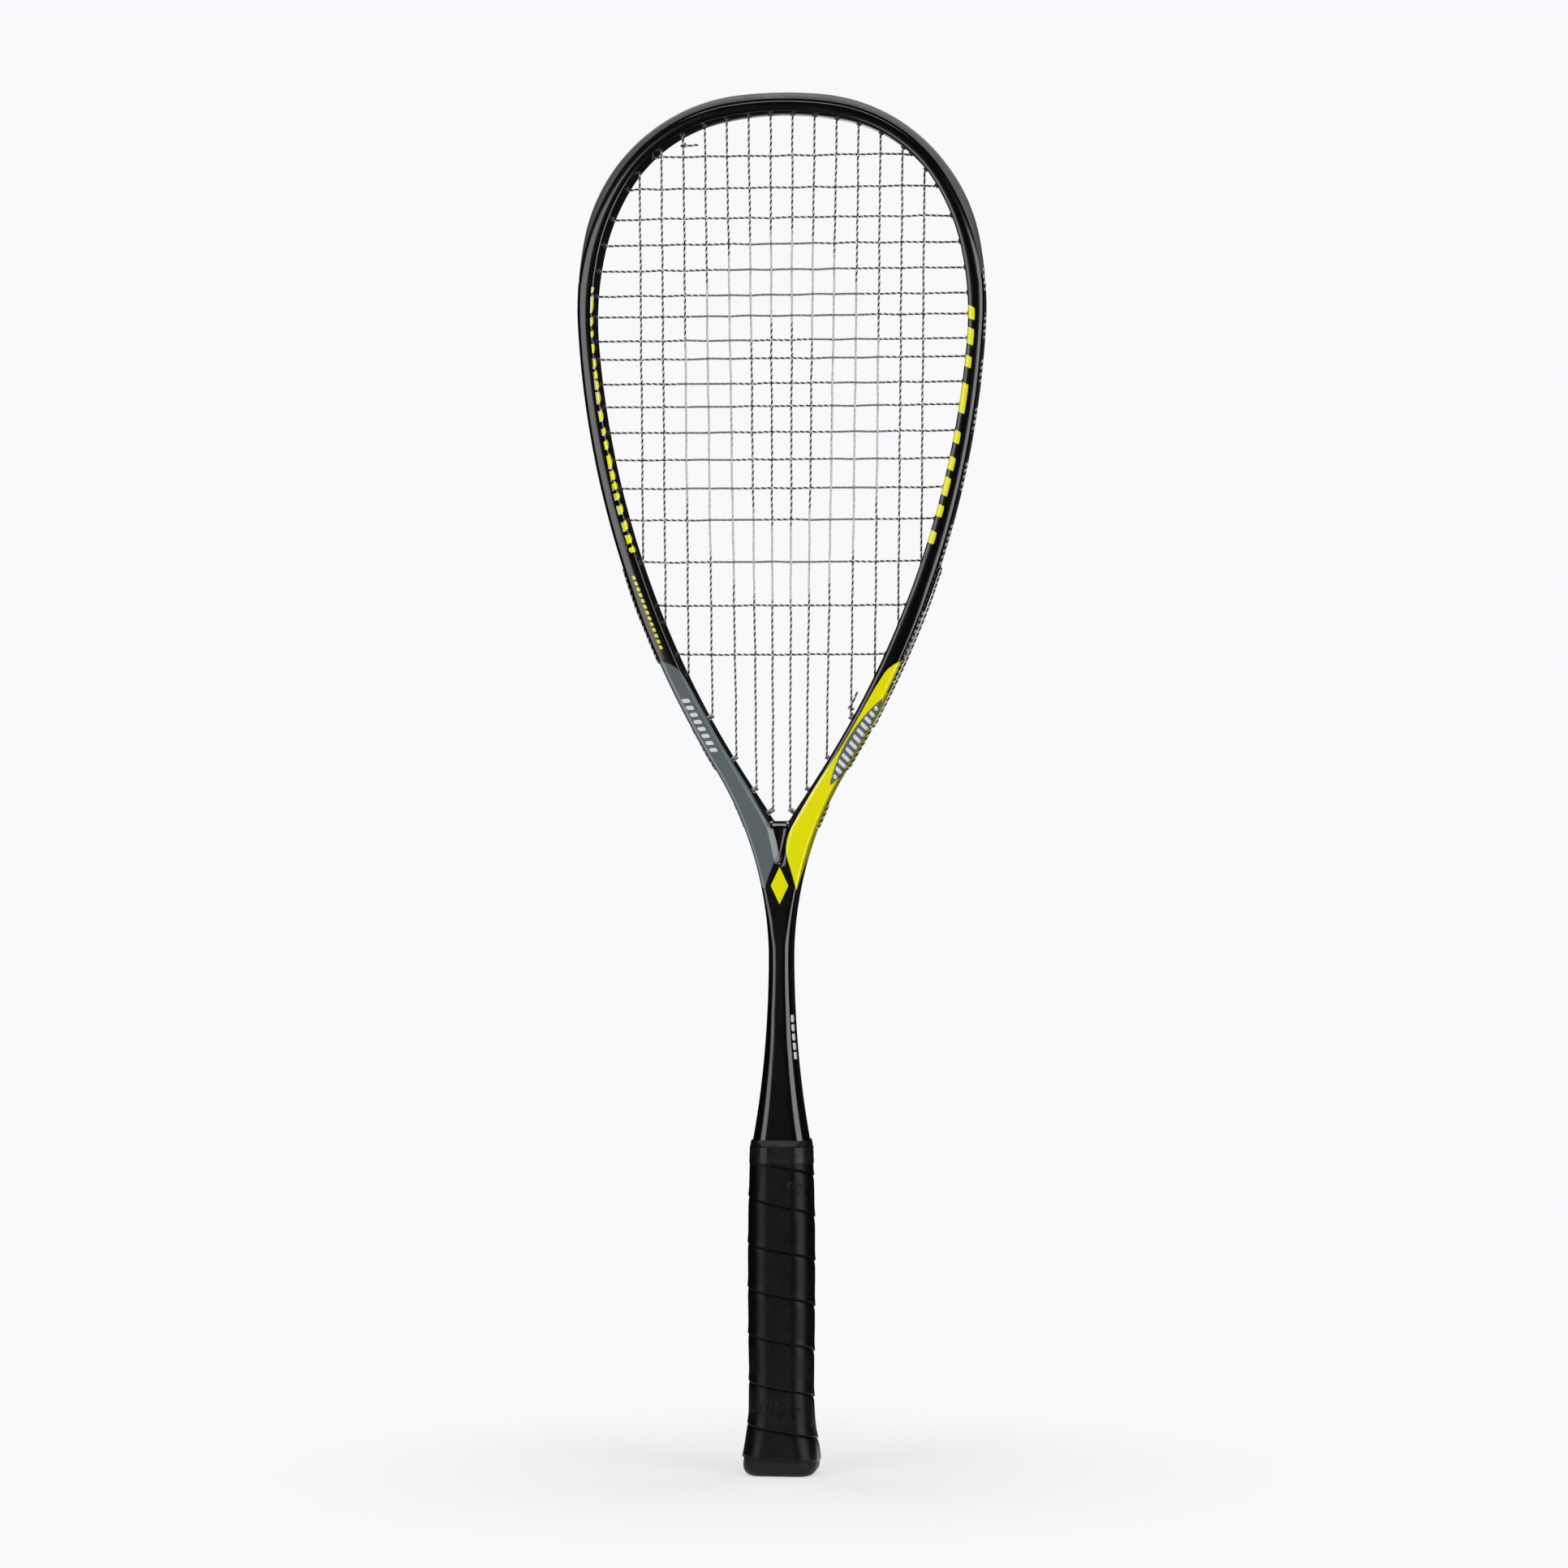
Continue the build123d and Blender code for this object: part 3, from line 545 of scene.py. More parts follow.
uneven = 1.6 * np.sin(travel / 9.7) + 1.1 * np.sin(travel / 4.3)
block = 2.1 + 0.5 * np.sin(travel / 7.1) - np.abs(np.mod(travel + 0.8 * py + uneven, 7.0) - 3.5)
left_band = np.minimum.reduce([block, band_width - rim_gap, 589.9 - pz, pz - 458.3, 2.6 - py,
                               np.where(px < 0, 10.0, -1e3)])
band_rim = np.minimum.reduce([0.22 - np.abs(left_band + 0.22), band_width + 0.5 - rim_gap,
                              pz - 458.0, 590.4 - pz])
left_text = np.where(py < 0, dashes((-73.4, 447.0), (-58.8, 409.6), px, pz, 1.5, 3.1, 0.62, 0.35), -1e3)
plate = np.where(py < 0, lens((51.2, 385.3), (24.9, 341.7), 4.2, px, pz), -1e3)
plate_bars = np.minimum(dashes((49.2, 382.0), (27.2, 345.5), px, pz, 5.2, 3.6, 0.5, 0.25), plate - 0.7)
left_bars = np.where(py < 0, dashes((-47.6, 386.0), (-32.4, 359.0), px, pz, 3.4, 4.0, 0.55, 0.45), -1e3)
shaft_bars = np.minimum.reduce([0.9 - outer_gap, 1.75 - np.abs(np.mod(pz - 206.0, 4.6) - 2.3), pz - 206.0,
                                229.0 - pz, 0.6 - py, py + 8.6, np.where(px > 0, 10.0, -1e3)])
outline = np.where((px < 0) & (pz < 500) & (py < 4), 0.22 - np.abs(rim_gap - band_width - 0.9), -1e3)
outline = np.minimum.reduce([outline, pz - 459.5, 500.0 - pz])

add_piece(
    "carbon_frame", points, faces, lacquer_material, ("frame",),
    {
        "grey": grey_arm,
        "yellow": np.maximum.reduce([yellow_arm, mark, right_dashes, left_band, left_text]),
        "plate": np.maximum(plate, outline),
        "pale": np.maximum.reduce([plate_bars, left_bars, shaft_bars, band_rim]),
    },
    sharp=38,
)

# ---------------------------------------------------------------- string route, as the solid has it
BARREL_TURN, TUBE_TURN, TIP_MARGIN = 1.0, 2.0, 2.0
MAINS, MAIN_PITCH = 14, 11.1
MAIN_FEET = [5.9, 14.2, 24.3, 36.4, 47.5, 59.2, 69.3]
CROSS_HEIGHTS = [655.6, 639.7, 624.8, 611.8, 599.0, 586.4, 576.0, 563.9, 554.8]
CROSS_HEIGHTS += [542.4, 531.0, 518.1, 504.5, 490.2, 474.5, 453.5, 431.8, 407.4]
SHARED_CROSS, TUBE_FEET, TIE_MAIN_HIGH, TIE_MAIN_LOW = 15, 4, 3, 11
LOOP_LEVEL, TUBE_LOOP_LEVEL, RUN_LEVEL = 0.25, 1.0, 1.5
LANE, SHARED_OFFSET, LANE_REACH, RUN_SPACING, WEAVE = 1.35, 0.62, 3.0, 15.0, 1.4
LARGEST_BEND, BEND_STEP, RUN_SHARE, STRAIGHT, EDGE_STEP = 1.3, 0.22, 0.45, 0.003, 0.01
KNOT_RADIUS, KNOT_STEP, KNOT_RISE, KNOT_LIFT, TAIL_LEAN = 1.35, 60, 0.25, 3.0, 0.3
LOW_TAIL, HIGH_TAIL = (3.4, 7.5), (7.5, 0.5)


def port(inner, wide=False):
    heading = half_width(hole_chain, inner[1])[1]
    side = 1 if inner[0] > 0 else -1
    direction = (-side * math.sin(heading), math.cos(heading))
    outer = reach(frame_chain, inner, direction)
    length = math.hypot(outer[0] - inner[0], outer[1] - inner[1])
    return {"outer": outer, "length": length, "direction": direction, "wide": wide, "tube": False}


def along_port(hole, distance, y=0.0):
    return (hole["outer"][0] + hole["direction"][0] * distance, y,
            hole["outer"][1] + hole["direction"][1] * distance)


def main_place(number):
    half = MAINS // 2
    return (-1, half + 1 - number) if number <= half else (1, number - half)


main_heads, main_feet = {}, {}
for number in range(1, MAINS + 1):
    side, position = main_place(number)
    head = reach(hole_chain, (side * MAIN_PITCH * (position - 0.5), HEAD_CENTRE), (0, 1))
    main_heads[number] = port(head, number == TIE_MAIN_HIGH)
    if position == MAINS // 2:
        height = CROSS_HEIGHTS[SHARED_CROSS]
        foot = (side * (half_width(hole_chain, height)[0] - EDGE_STEP), height)
    else:
        foot = reach(hole_chain, (side * MAIN_FEET[position - 1], HEAD_CENTRE), (0, -1))
    main_feet[number] = port(foot, number in (1, TIE_MAIN_LOW, MAINS))
    main_feet[number]["tube"] = position <= TUBE_FEET
cross_ends = {}
for index, height in enumerate(CROSS_HEIGHTS):
    for side in (-1, 1):
        if index == SHARED_CROSS:
            cross_ends[index, side] = main_feet[1 if side < 0 else MAINS]
        else:
            cross_ends[index, side] = port((side * (half_width(hole_chain, height)[0] - EDGE_STEP), height))


def tip(hole, y):
    """Where the string leaves its barrel and turns, a little past the wall."""
    return along_port(hole, -hole["length"] - (TUBE_TURN if hole["tube"] else BARREL_TURN), y)


def pushed(point, level):
    start = (0.0, min(point[2], HEAD_CENTRE))
    span = math.hypot(point[0], point[2] - start[1])
    direction = (point[0] / span, (point[2] - start[1]) / span)
    x, z = reach(grown(frame_chain, level), start, direction)
    return (x, point[1], z)


def outer_run(first, last, level, lane):
    a, b = Vector(first), Vector(last)
    length = (b - a).length
    share = LANE_REACH / length
    steps = max(1, round((length - 2 * LANE_REACH) / RUN_SPACING))
    run = []
    for step in range(steps + 1):
        spot = a + (b - a) * (share + (1 - 2 * share) * step / steps)
        run.append(pushed((spot.x, lane, spot.z), level))
    return run


def main_line(number, height):
    head, foot = tip(main_heads[number], 0), tip(main_feet[number], 0)
    if not foot[2] + TIP_MARGIN < height < head[2] - TIP_MARGIN:
        return None
    return foot[0] + (head[0] - foot[0]) * (height - foot[2]) / (head[2] - foot[2])


def hitch(centre, rise, tail):
    turn = []
    for step in range(360 // KNOT_STEP + 1):
        angle = math.radians(KNOT_STEP * step - 90)
        turn.append((centre[0] + KNOT_RADIUS * math.cos(angle), centre[1] + KNOT_RADIUS * math.sin(angle),
                     centre[2] + rise * step))
    turn.append((turn[-1][0] + tail[0], turn[-1][1] - TAIL_LEAN, turn[-1][2] + tail[1]))
    return turn


def through(hole, y, level, inwards):
    ends = [tip(hole, y), along_port(hole, level, y)]
    return ends[::-1] if inwards else ends


def string_route():
    low_knot = main_feet[TIE_MAIN_LOW]
    knot = tip(low_knot, SHARED_OFFSET)
    route = hitch((knot[0], knot[1], knot[2] + KNOT_LIFT), KNOT_RISE, LOW_TAIL)[::-1]
    route += through(low_knot, -SHARED_OFFSET, RUN_LEVEL, False)
    last_foot = main_feet[MAINS]
    route += outer_run(route[-1], along_port(last_foot, RUN_LEVEL, SHARED_OFFSET), RUN_LEVEL, LANE)
    route += through(last_foot, SHARED_OFFSET, RUN_LEVEL, True)
    going_up = True
    for number in range(MAINS, 0, -1):
        last = main_heads if going_up else main_feet
        leaving = last[number]
        level = TUBE_LOOP_LEVEL if leaving["tube"] else LOOP_LEVEL
        if number == 1:
            level = RUN_LEVEL
        route += through(leaving, SHARED_OFFSET if leaving["wide"] else 0.0, level, False)
        if number > 1:
            entering = last[number - 1]
            entering_y = SHARED_OFFSET if entering["wide"] else 0.0
            route += outer_run(route[-1], along_port(entering, level, entering_y), level, LANE)
            route += through(entering, entering_y, level, True)
        going_up = not going_up
    cross_side = -1
    lowest = len(CROSS_HEIGHTS) - 1
    route += outer_run(route[-1], along_port(cross_ends[lowest, cross_side], RUN_LEVEL), RUN_LEVEL, LANE)
    route += through(cross_ends[lowest, cross_side], 0.0, RUN_LEVEL, True)
    for index in range(lowest, -1, -1):
        height = CROSS_HEIGHTS[index]
        for number in range(1, MAINS + 1) if cross_side < 0 else range(MAINS, 0, -1):
            x = main_line(number, height)
            if x is not None:
                route.append((x, WEAVE if (number + index) % 2 else -WEAVE, height))
        cross_side = -cross_side
        leaving = cross_ends[index, cross_side]
        route += through(leaving, -SHARED_OFFSET if leaving["wide"] else 0.0, LOOP_LEVEL, False)
        if index > 0:
            entering = cross_ends[index - 1, cross_side]
            entering_y = -SHARED_OFFSET if entering["wide"] else 0.0
            route += outer_run(route[-1], along_port(entering, LOOP_LEVEL, entering_y), LOOP_LEVEL, -LANE)
            route += through(entering, entering_y, LOOP_LEVEL, True)
    high_knot = main_heads[TIE_MAIN_HIGH]
    route += outer_run(route[-1], along_port(high_knot, LOOP_LEVEL, -SHARED_OFFSET), LOOP_LEVEL, -LANE)
    route += through(high_knot, -SHARED_OFFSET, LOOP_LEVEL, True)
    knot = tip(high_knot, SHARED_OFFSET)
    return route + hitch((knot[0], knot[1], knot[2] - KNOT_LIFT), -KNOT_RISE, HIGH_TAIL)


def taut_line(route):
    """The taut string's line: straight runs joined by tangent bends over the barrels and crossings."""
    line = [Vector(route[0])]
    for before, corner, after in zip(route, route[1:], route[2:]):
        corner_point = Vector(corner)
        back, ahead = Vector(before) - corner_point, Vector(after) - corner_point
        turn = math.pi - back.angle(ahead)
        if turn < STRAIGHT:
            continue
        radius = min(LARGEST_BEND, RUN_SHARE * min(back.length, ahead.length) / math.tan(turn / 2))
        cut = radius * math.tan(turn / 2)
        entry = corner_point + back.normalized() * cut
        leave = corner_point + ahead.normalized() * cut
        steps = max(2, math.ceil(turn / BEND_STEP))
        middle = (back.normalized() + ahead.normalized()).normalized()
        centre = corner_point + middle * (radius / math.cos(turn / 2))
        first, last = entry - centre, leave - centre
        for step in range(steps + 1):
            share = step / steps
            blend = (math.sin((1 - share) * turn) * first + math.sin(share * turn) * last) / math.sin(turn)
            line.append(centre + blend)
    line.append(Vector(route[-1]))
    return np.array([tuple(spot) for spot in line])


TWIST = 3.2
STRAND_RADIUS, STRAND_LOBE = 0.53, 0.09
RING_STEP = 0.42
RING = 8
line = taut_line(string_route())
gaps = np.linalg.norm(np.diff(line, axis=0), axis=1)
line = line[np.concatenate([[True], gaps > 1e-4])]
gaps = np.linalg.norm(np.diff(line, axis=0), axis=1)
lengths = np.concatenate([[0], np.cumsum(gaps)])
stations = np.linspace(0, lengths[-1], round(lengths[-1] / RING_STEP))
centres = np.stack([np.interp(stations, lengths, line[:, k]) for k in range(3)], 1)
hole_gap = np.where(np.abs(centres[:, 1]) < 2.3, distance_to(hole_chain, centres[:, 0], centres[:, 2]), 0)
free = np.clip((hole_gap - 3) / 6, 0, 1) * (np.abs(centres[:, 0]) < 92)
wave = np.sin(stations / 2.3) * 0.6 + np.sin(stations / 5.1 + 1.3) + np.sin(stations / 11.7)
centres[:, 0] += 0.07 * free * wave
centres[:, 2] += 0.07 * free * np.roll(wave, 5)
tangents = np.gradient(centres, axis=0)
tangents /= np.linalg.norm(tangents, axis=1)[:, None]
sides = np.zeros_like(tangents)
side_now = Vector((0.0, 1.0, 0.0))
for index, tangent in enumerate(tangents.tolist()):
    t = Vector(tangent)
    side_now = (side_now - t * side_now.dot(t)).normalized()
    sides[index] = side_now
others = np.cross(tangents, sides)
phase = 2 * math.pi * stations / TWIST + 0.5 * np.sin(stations / 37) + 0.4 * np.sin(stations / 9.1)
ring_angles = np.arange(RING) * 2 * math.pi / RING
radius = STRAND_RADIUS + STRAND_LOBE * np.cos(2 * ring_angles)
angle = phase[:, None] + ring_angles
rings = centres[:, None] + radius[None, :, None] * (
    np.cos(angle)[..., None] * sides[:, None] + np.sin(angle)[..., None] * others[:, None])
faces = grid_faces(len(stations), RING, True)
faces.append(tuple(range(RING - 1, -1, -1)))
faces.append(tuple((len(stations) - 1) * RING + k for k in range(RING)))
flat = rings.reshape(-1, 3)
ply = np.tile(np.cos(ring_angles), len(stations))
oval = np.hypot(flat[:, 0] / 53.0, (flat[:, 2] - 526.0) / 92.0)
core = np.hypot(flat[:, 0] / 25.0, (flat[:, 2] - 522.0) / 52.0)
stencil = np.minimum((1 - oval) * 53.0, (core - 1) * 25.0)
stencil = np.where(np.repeat(hole_gap, RING) > 3, stencil, -50.0)
# marks the cross strings, where the stencil's ink is drawn darker than on the mains: painted shade
crosswise = np.repeat((np.abs(tangents[:, 0]) > np.abs(tangents[:, 2])).astype(float), RING)

twisted = Shader("twisted_string", (0.3, 0.28, 0.26), 0.45, Specular_IOR_Level=0.3)
fibres = twisted.noise(2200, 3.0, 0.6)
dark_ply = twisted.mix(fibres, (0.0005, 0.0005, 0.0005), (0.003, 0.0025, 0.002))
light_ply = twisted.mix(fibres, (0.6, 0.56, 0.5), (0.86, 0.82, 0.76))
plies = twisted.mix(twisted.between(twisted.value("ply"), -0.25, -0.05), light_ply, dark_ply)
worn = twisted.between(twisted.noise(900, 3.0), 0.3, 0.62)
coverage = twisted.math("MULTIPLY", twisted.mask("stencil", 0.8), twisted.between(worn, 0, 1, 0.62, 0.98))
# where the stencil covers the strings its ink is 0.7 on the mains and 0.2 on the crosses; the darker crosses
# are painted shade, not a different ink
string_material = twisted.finish(
    twisted.mix(coverage, plies, twisted.mix(twisted.value("cross"), (0.7, 0.7, 0.7), (0.2, 0.2, 0.2))),
    twisted.between(fibres, 0.3, 0.7, 0.4, 0.6),
    twisted.bump(fibres, 0.00005, 0.5),
)
add_piece("twisted_string", flat, faces, string_material, ("string",),
          {"ply": ply, "stencil": stencil, "cross": crosswise})

# ---------------------------------------------------------------- handle
HEIGHTS = [0.0, 9.0, 17.0, 26.0, 42.0, 70.0, 130.0, 163.3]
WIDTHS = [37.0, 37.4, 35.0, 32.6, 31.5, 32.0, 32.0, 30.3]
DEPTHS = [32.6, 33.0, 30.6, 28.4, 27.4, 27.8, 27.6, 26.0]
CORNER = 10.0
GRIP_TOP = 163.3
AROUND = 160


def eased(height, values):
    """A smooth curve through the handle's sections."""
    height = np.clip(height, HEIGHTS[0], HEIGHTS[-1])
    slopes = np.gradient(np.array(values), np.array(HEIGHTS))
    index = np.clip(np.searchsorted(HEIGHTS, height) - 1, 0, len(HEIGHTS) - 2)
    low, high = np.array(HEIGHTS)[index], np.array(HEIGHTS)[index + 1]
    span = high - low
    t = (height - low) / span
    a, b = np.array(values)[index], np.array(values)[index + 1]
    return ((2 * t**3 - 3 * t**2 + 1) * a + (t**3 - 2 * t**2 + t) * span * slopes[index]
            + (3 * t**2 - 2 * t**3) * b + (t**3 - t**2) * span * slopes[index + 1])


def section(turn, height, out=0.0):
    """Points on the handle's rounded section: turn 0 at the left, 0.5 at the right past the front."""
    half_x = eased(height, WIDTHS) / 2 + out
    half_y = eased(height, DEPTHS) / 2 + out
    corner = CORNER + out
    flat_x, flat_y = half_x - corner, half_y - corner
    arc = corner * math.pi / 2
    total = 4 * (flat_x + flat_y) + 4 * arc
    run = np.mod(turn, 1.0) * total
    x, y = np.zeros_like(run), np.zeros_like(run)
    # from the left's middle round by the front: (length, kind)
    edges = [flat_y, arc, 2 * flat_x, arc, 2 * flat_y, arc, 2 * flat_x, arc, flat_y]
    starts = np.concatenate([[np.zeros_like(run)], np.cumsum([e + 0 * run for e in edges], axis=0)])
    for k in range(9):
        local = run - starts[k]
        here = (local >= 0) & (local <= edges[k] + 1e-9)
        bend = np.clip(local / corner, 0, math.pi / 2)
        sin, cos = np.sin(bend), np.cos(bend)
        if k == 0:
            spot = (-half_x, -local)
        elif k == 1:
            spot = (-flat_x - corner * cos, -flat_y - corner * sin)
        elif k == 2:
            spot = (-flat_x + local, -half_y)
        elif k == 3:
            spot = (flat_x + corner * sin, -flat_y - corner * cos)
        elif k == 4:
            spot = (half_x, -flat_y + local)
        elif k == 5:
            spot = (flat_x + corner * cos, flat_y + corner * sin)
        elif k == 6:
            spot = (flat_x - local, half_y)
        elif k == 7:
            spot = (-flat_x - corner * sin, flat_y + corner * cos)
        else:
            spot = (-half_x, flat_y - local)
        x, y = np.where(here, spot[0], x), np.where(here, spot[1], y)
    return x, y, total


# the seam's height at each half turn, from above the band down past the cap
SEAM = [180.0, 168.6, 158.1, 149.2, 139.9, 129.0, 116.5, 107.2, 94.7, 84.6,
        71.3, 62.4, 47.9, 39.4, 26.9, 18.4, 8.8, -1.0, -12.0]
SEAM_TURNS = np.arange(len(SEAM)) / 2 - 1.0


def seam_height(turns):
    """Height of the winding's seam after a number of turns, smoothed between half turns."""
    return sum(np.interp(turns + shift, SEAM_TURNS, SEAM) for shift in (-0.1, -0.03, 0.03, 0.1)) / 4


def lower_edge(turn):
    return 8.3 + 1.5 * np.cos(2 * math.pi * turn)


def sleeve():
    """The wound tape: rows run along the winding, columns across one wrap."""
    across = np.array([0, 0.012, 0.03, 0.055, 0.09, 0.14, 0.22, 0.34,
                       0.48, 0.62, 0.75, 0.85, 0.92, 0.965, 0.99, 1.0])
    height_out = -0.75 * np.exp(-across / 0.045) + 0.34 * np.clip((across - 0.72) / 0.24, 0, 1) ** 2
    height_out[-1] -= 0.16
    height_out += 0.16 * np.sin(math.pi * np.sqrt(across))
    turns = np.arange(-AROUND, 8 * AROUND + 1) / AROUND
    t = turns[:, None] + 0 * across[None]
    z = seam_height(turns[:, None] + across[None])
    floor_height = lower_edge(np.mod(t, 1.0))
    clamped = np.clip(z, floor_height, GRIP_TOP)
    out = height_out[None] + 0 * t
    x, y, total = section(t, clamped, out)
    rows, columns = t.shape
    points = np.stack([x, y, clamped], -1).reshape(-1, 3)
    keep = (z > floor_height) & (z < GRIP_TOP)
    faces = []
    for i in range(rows - 1):
        for j in range(columns):
            if j == columns - 1:
                k = i + AROUND
                if k + 1 >= rows:
                    continue
                quad = ((i, j), (k, 0), (k + 1, 0), (i + 1, j))
            else:
                quad = ((i, j), (i, j + 1), (i + 1, j + 1), (i + 1, j))
            if any(keep[a, b] for a, b in quad):
                faces.append(tuple(a * columns + b for a, b in quad))
    lengthwise = (t * 104.0).reshape(-1)
    crosswise = (across[None] * 22.6 + 0 * t).reshape(-1)
    # the rolled lower edge over the cap
    base = len(points)
    turn = np.arange(AROUND) / AROUND
    rolls = [(1.6, 0.16), (0.5, 0.2), (0.12, 0.0), (0.0, -0.5), (0.1, -1.6)]
    for lift, inset in rolls:
        height = lower_edge(turn) + lift
        rx, ry, _ = section(turn, height, inset + 0 * turn)
        points = np.vstack([points, np.stack([rx, ry, height], 1)])
        lengthwise = np.concatenate([lengthwise, 0 * turn])
        crosswise = np.concatenate([crosswise, 0 * turn])
    for face in grid_faces(len(rolls), AROUND, True, base):
        faces.append(face)
    used = sorted({k for face in faces for k in face})
    order = {k: n for n, k in enumerate(used)}
    faces = [tuple(order[k] for k in face) for face in faces]
    return points[used], faces, lengthwise[used], crosswise[used]


points, faces, lengthwise, crosswise = sleeve()
tape = Shader("cushion_tape", (0.002, 0.0018, 0.0017), 0.3, Specular_IOR_Level=0.2)
grain = tape.noise(2600, 3.0, 0.6)
pores = tape.node("ShaderNodeTexVoronoi", feature="F1")
tape.put(pores.inputs["Vector"], tape.place)
pores.inputs["Scale"].default_value = 1900
long_mm, cross_mm = tape.value("lengthwise"), tape.value("crosswise")
slanted = tape.math("ADD", long_mm, tape.math("MULTIPLY", cross_mm, 0.35))
stroke = tape.math("PINGPONG", slanted, 2.7)
group = tape.math("PINGPONG", tape.math("ADD", long_mm, -50.0), 125.0)
bars = tape.math("MULTIPLY", tape.between(stroke, 1.5, 1.8), tape.between(group, 19.0, 18.0))
height_mask = tape.math("MULTIPLY", tape.between(cross_mm, 8.2, 8.6), tape.between(cross_mm, 15.4, 15.0))
emboss = tape.math("MULTIPLY", bars, height_mask)
tape_normal = tape.bump(grain, 0.00008, 0.45)
tape_normal = tape.bump(pores.outputs["Distance"], 0.0001, 0.25, tape_normal)
tape_normal = tape.bump(tape.noise(45, 3.0), 0.0006, 0.3, tape_normal)
tape_material = tape.finish(
    tape.mix(tape.noise(70, 4.0), (0.0012, 0.001, 0.0009), (0.0022, 0.0019, 0.0017)),
    tape.between(tape.noise(160, 3.0), 0.3, 0.7, 0.27, 0.38),
    tape.bump(emboss, 0.00035, 0.9, tape_normal),
)
add_piece("wound_grip", points, faces, tape_material, ("grip_tape",),
          {"lengthwise": lengthwise, "crosswise": crosswise}, sharp=50)


def lathe(levels, turn_count=AROUND):
    """Rows of the handle's section: each level is (height, outwards), a height being a number or a curve."""
    turn = np.arange(turn_count) / turn_count
    points = []
    for height, out in levels:
        heights = height(turn) if callable(height) else height + 0 * turn
        x, y, _ = section(turn, heights, out + 0 * turn)
        points.append(np.stack([x, y, heights], 1))
    return np.vstack(points), grid_faces(len(levels), turn_count, True)


BAND_LOW = 154.3


def ripple(turn):
    """The finishing band's lower edge, slightly uneven round the handle."""
    return BAND_LOW + 0.18 * np.sin(2 * math.pi * turn * 3 + 1.0)


band_levels = [(ripple, -0.2), (ripple, 0.22), (lambda turn: ripple(turn) + 0.25, 0.34)]
band_levels += [(BAND_LOW + 1.2 + 0.85 * step, 0.36 + 0.05 * math.sin(1.7 * step)) for step in range(9)]
band_levels += [(GRIP_TOP - 0.35, 0.34), (GRIP_TOP, 0.1), (GRIP_TOP + 0.02, -1.2), (GRIP_TOP, -2.2)]
points, faces = lathe(band_levels)
vinyl = Shader("vinyl_band", (0.006, 0.006, 0.006), 0.24, Specular_IOR_Level=0.3)
vinyl_material = vinyl.finish(
    vinyl.mix(vinyl.noise(80, 3.0), (0.004, 0.004, 0.004), (0.009, 0.009, 0.009)),
    vinyl.between(vinyl.noise(130, 3.0), 0.3, 0.7, 0.2, 0.34),
    vinyl.bump(vinyl.noise(160, 3.0, 0.5, None, 0.6), 0.0005, 0.3),
)
add_piece("vinyl_band", points, faces, vinyl_material, ("finishing_tape",), sharp=50)

BUTT_RADIUS = 4.5
cap_levels = [(12.5, -2.2), (12.3, -0.9), (9.0, -0.7), (6.0, -0.45)]
for step in range(11):
    angle = math.radians(9 * step)
    cap_levels.append((BUTT_RADIUS * (1 - math.sin(angle)), -0.45 - BUTT_RADIUS * (1 - math.cos(angle))))
cap_levels += [(0.0, -7.0), (0.0, -7.6), (0.35, -7.9), (0.4, -8.3)]
points, faces = lathe(cap_levels)
faces.append(tuple(range((len(cap_levels) - 1) * AROUND, len(cap_levels) * AROUND)))
butt = Shader("cap_rubber", (0.006, 0.005, 0.004), 0.5, Specular_IOR_Level=0.2)
butt_material = butt.finish(
    butt.mix(butt.noise(110, 4.0), (0.0045, 0.0036, 0.003), (0.008, 0.0065, 0.0056)),
    butt.between(butt.noise(220, 3.0), 0.3, 0.7, 0.42, 0.56),
    butt.bump(butt.noise(1300, 3.0), 0.0001, 0.5),
)
add_piece("rubber_cap", points, faces, butt_material, ("butt_cap",), sharp=50)

# ---------------------------------------------------------------- floor, light and camera
CAMERA_TURN, CAMERA_DISTANCE, CAMERA_LENS = math.radians(7.0), 2.5, 115.4
DISC_EDGES, DISC_RADIUS = 96, 1.2
target = Vector((0.0012, 0.0, (cad_low.z + cad_high.z) / 2))


def around(azimuth, distance, height):
    """A place at an azimuth round the racket, nought being straight in front."""
    angle = math.radians(azimuth)
    return Vector((math.sin(angle) * distance, -math.cos(angle) * distance, height))


disc = bpy.data.meshes.new("floor")
disc_points = [(0, 0, 0)]
disc_points += [(DISC_RADIUS * math.cos(2 * math.pi * k / DISC_EDGES),
                 DISC_RADIUS * math.sin(2 * math.pi * k / DISC_EDGES), 0) for k in range(DISC_EDGES)]
disc.from_pydata(disc_points, [], [(0, k + 1, (k + 1) % DISC_EDGES + 1) for k in range(DISC_EDGES)])
floor = bpy.data.objects.new("floor", disc)
bpy.context.scene.collection.objects.link(floor)
floor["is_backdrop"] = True
PAGE = (0.939, 0.947, 0.965)
floor_material = bpy.data.materials.new("floor")
floor_material.use_nodes = True
tree = floor_material.node_tree
tree.nodes.clear()


def link(a, b):
    tree.links.new(a, b)


glow = tree.nodes.new("ShaderNodeEmission")
glow.inputs["Color"].default_value = (*PAGE, 1)
glow.inputs["Strength"].default_value = 0.62
dull = tree.nodes.new("ShaderNodeBsdfDiffuse")
dull.inputs["Color"].default_value = (0.3, 0.303, 0.309, 1)
both = tree.nodes.new("ShaderNodeAddShader")
link(glow.outputs[0], both.inputs[0])
link(dull.outputs[0], both.inputs[1])
clear = tree.nodes.new("ShaderNodeBsdfTransparent")
fade = tree.nodes.new("ShaderNodeMixShader")
spot = tree.nodes.new("ShaderNodeTexCoord")
far = tree.nodes.new("ShaderNodeVectorMath")
far.operation = "LENGTH"
link(spot.outputs["Object"], far.inputs[0])
ramp = tree.nodes.new("ShaderNodeMapRange")
ramp.interpolation_type = "SMOOTHSTEP"
for socket, number in zip(ramp.inputs[1:], (0.05, 0.3, 0.0, 1.0)):
    socket.default_value = number
link(far.outputs["Value"], ramp.inputs[0])
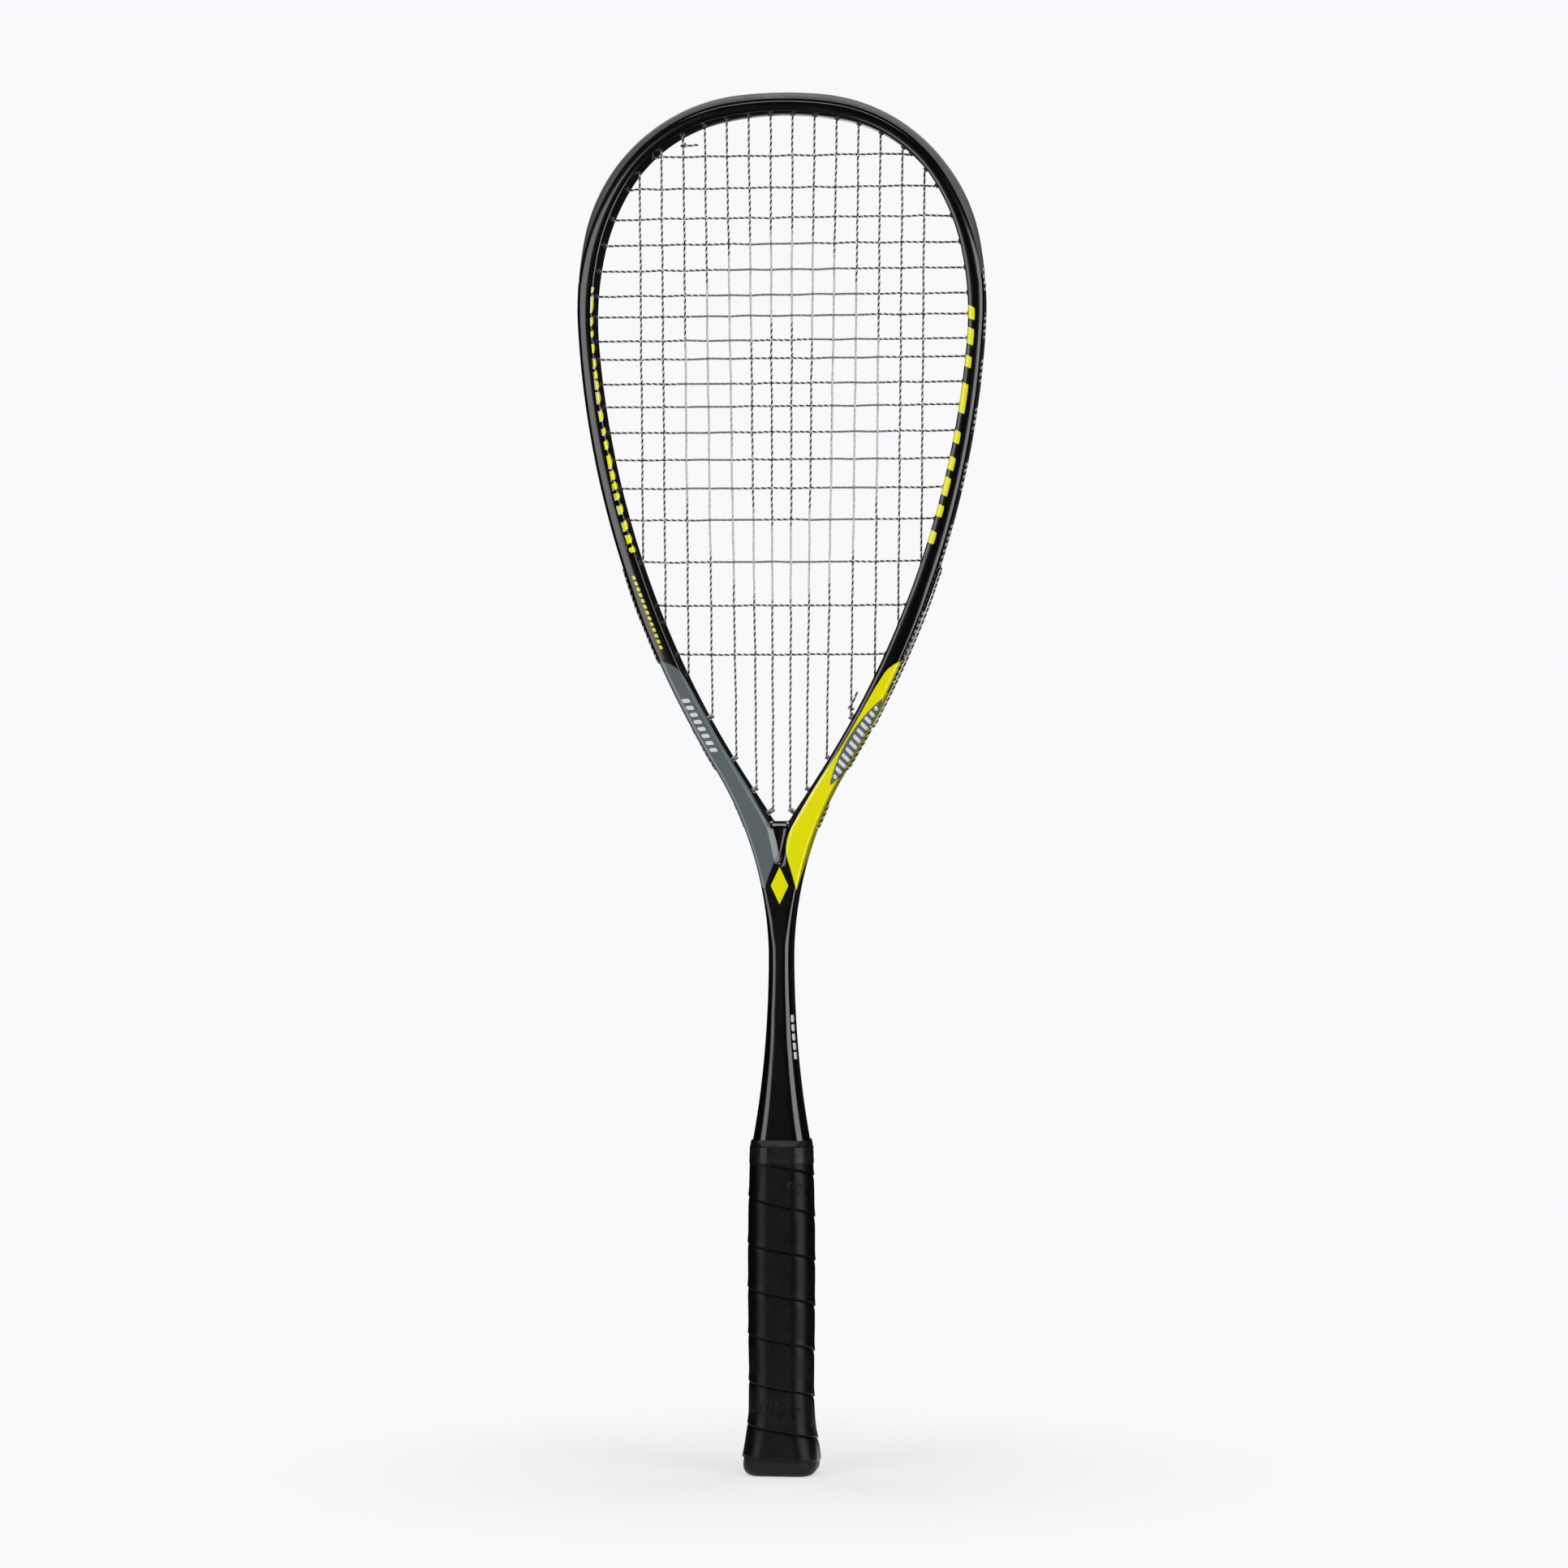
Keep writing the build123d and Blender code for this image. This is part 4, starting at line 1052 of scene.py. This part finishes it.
link(ramp.outputs[0], fade.inputs[0])
link(both.outputs[0], fade.inputs[1])
link(clear.outputs[0], fade.inputs[2])
shown = tree.nodes.new("ShaderNodeOutputMaterial")
link(fade.outputs[0], shown.inputs[0])
disc.materials.append(floor_material)

world = bpy.data.worlds.new("studio")
bpy.context.scene.world = world
world.use_nodes = True
tree = world.node_tree
tree.nodes.clear()
page = tree.nodes.new("ShaderNodeBackground")
page.inputs["Color"].default_value = (*PAGE, 1)
room = tree.nodes.new("ShaderNodeBackground")
way = tree.nodes.new("ShaderNodeTexCoord")
turned = tree.nodes.new("ShaderNodeVectorMath")
turned.operation = "DOT_PRODUCT"
link(way.outputs["Generated"], turned.inputs[0])
turned.inputs[1].default_value = (-math.sin(CAMERA_TURN), math.cos(CAMERA_TURN), 0.0)
behind = tree.nodes.new("ShaderNodeMapRange")
behind.interpolation_type = "SMOOTHSTEP"
for socket, number in zip(behind.inputs[1:], (0.9965, 0.9995, 0.009, 0.8)):
    socket.default_value = number
link(turned.outputs["Value"], behind.inputs[0])
link(behind.outputs[0], room.inputs["Strength"])
room.inputs["Color"].default_value = (0.98, 0.99, 1.0, 1)
path = tree.nodes.new("ShaderNodeLightPath")
choose = tree.nodes.new("ShaderNodeMixShader")
link(path.outputs["Is Camera Ray"], choose.inputs[0])
link(room.outputs[0], choose.inputs[1])
link(page.outputs[0], choose.inputs[2])
shown = tree.nodes.new("ShaderNodeOutputWorld")
link(choose.outputs[0], shown.inputs[0])


def softbox(name, place, aim, width, height, power, tint=(1, 1, 1)):
    data = bpy.data.lights.new(name, "AREA")
    data.shape = "RECTANGLE"
    data.size, data.size_y = width, height
    data.energy = power
    data.color = tint
    light = bpy.data.objects.new(name, data)
    bpy.context.scene.collection.objects.link(light)
    light.location = place
    light.rotation_euler = (Vector(aim) - Vector(place)).to_track_quat("-Z", "Y").to_euler()
    return light


MIDDLE = (0.0, 0.0, target.z)
for share, name in ((1.0, "wide"), (0.66, "middle"), (0.36, "narrow")):
    softbox("key_" + name, around(52.0, 1.9, 0.45), MIDDLE, 1.5 * share, 1.6, 19 * share)
    softbox("fill_" + name, around(-33.0, 1.9, 0.45), MIDDLE, 1.2 * share, 1.6, 12 * share)
softbox("top", (0.0, -0.4, 2.2), MIDDLE, 1.6, 1.2, 22)
softbox("back_left", around(225.0, 1.6, 2.2), MIDDLE, 1.2, 0.8, 12)
softbox("back_right", around(140.0, 1.6, 2.2), MIDDLE, 1.2, 0.8, 12)

camera_data = bpy.data.cameras.new("camera")
camera_data.sensor_width = 36.0
camera_data.lens = CAMERA_LENS
camera = bpy.data.objects.new("camera", camera_data)
bpy.context.scene.collection.objects.link(camera)
back = Vector((math.sin(CAMERA_TURN), -math.cos(CAMERA_TURN), 0.0))
camera.location = target + back * CAMERA_DISTANCE
camera.rotation_euler = (-back).to_track_quat("-Z", "Y").to_euler()
bpy.context.scene.camera = camera
bpy.context.scene.view_settings.view_transform = "Standard"

low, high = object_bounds()
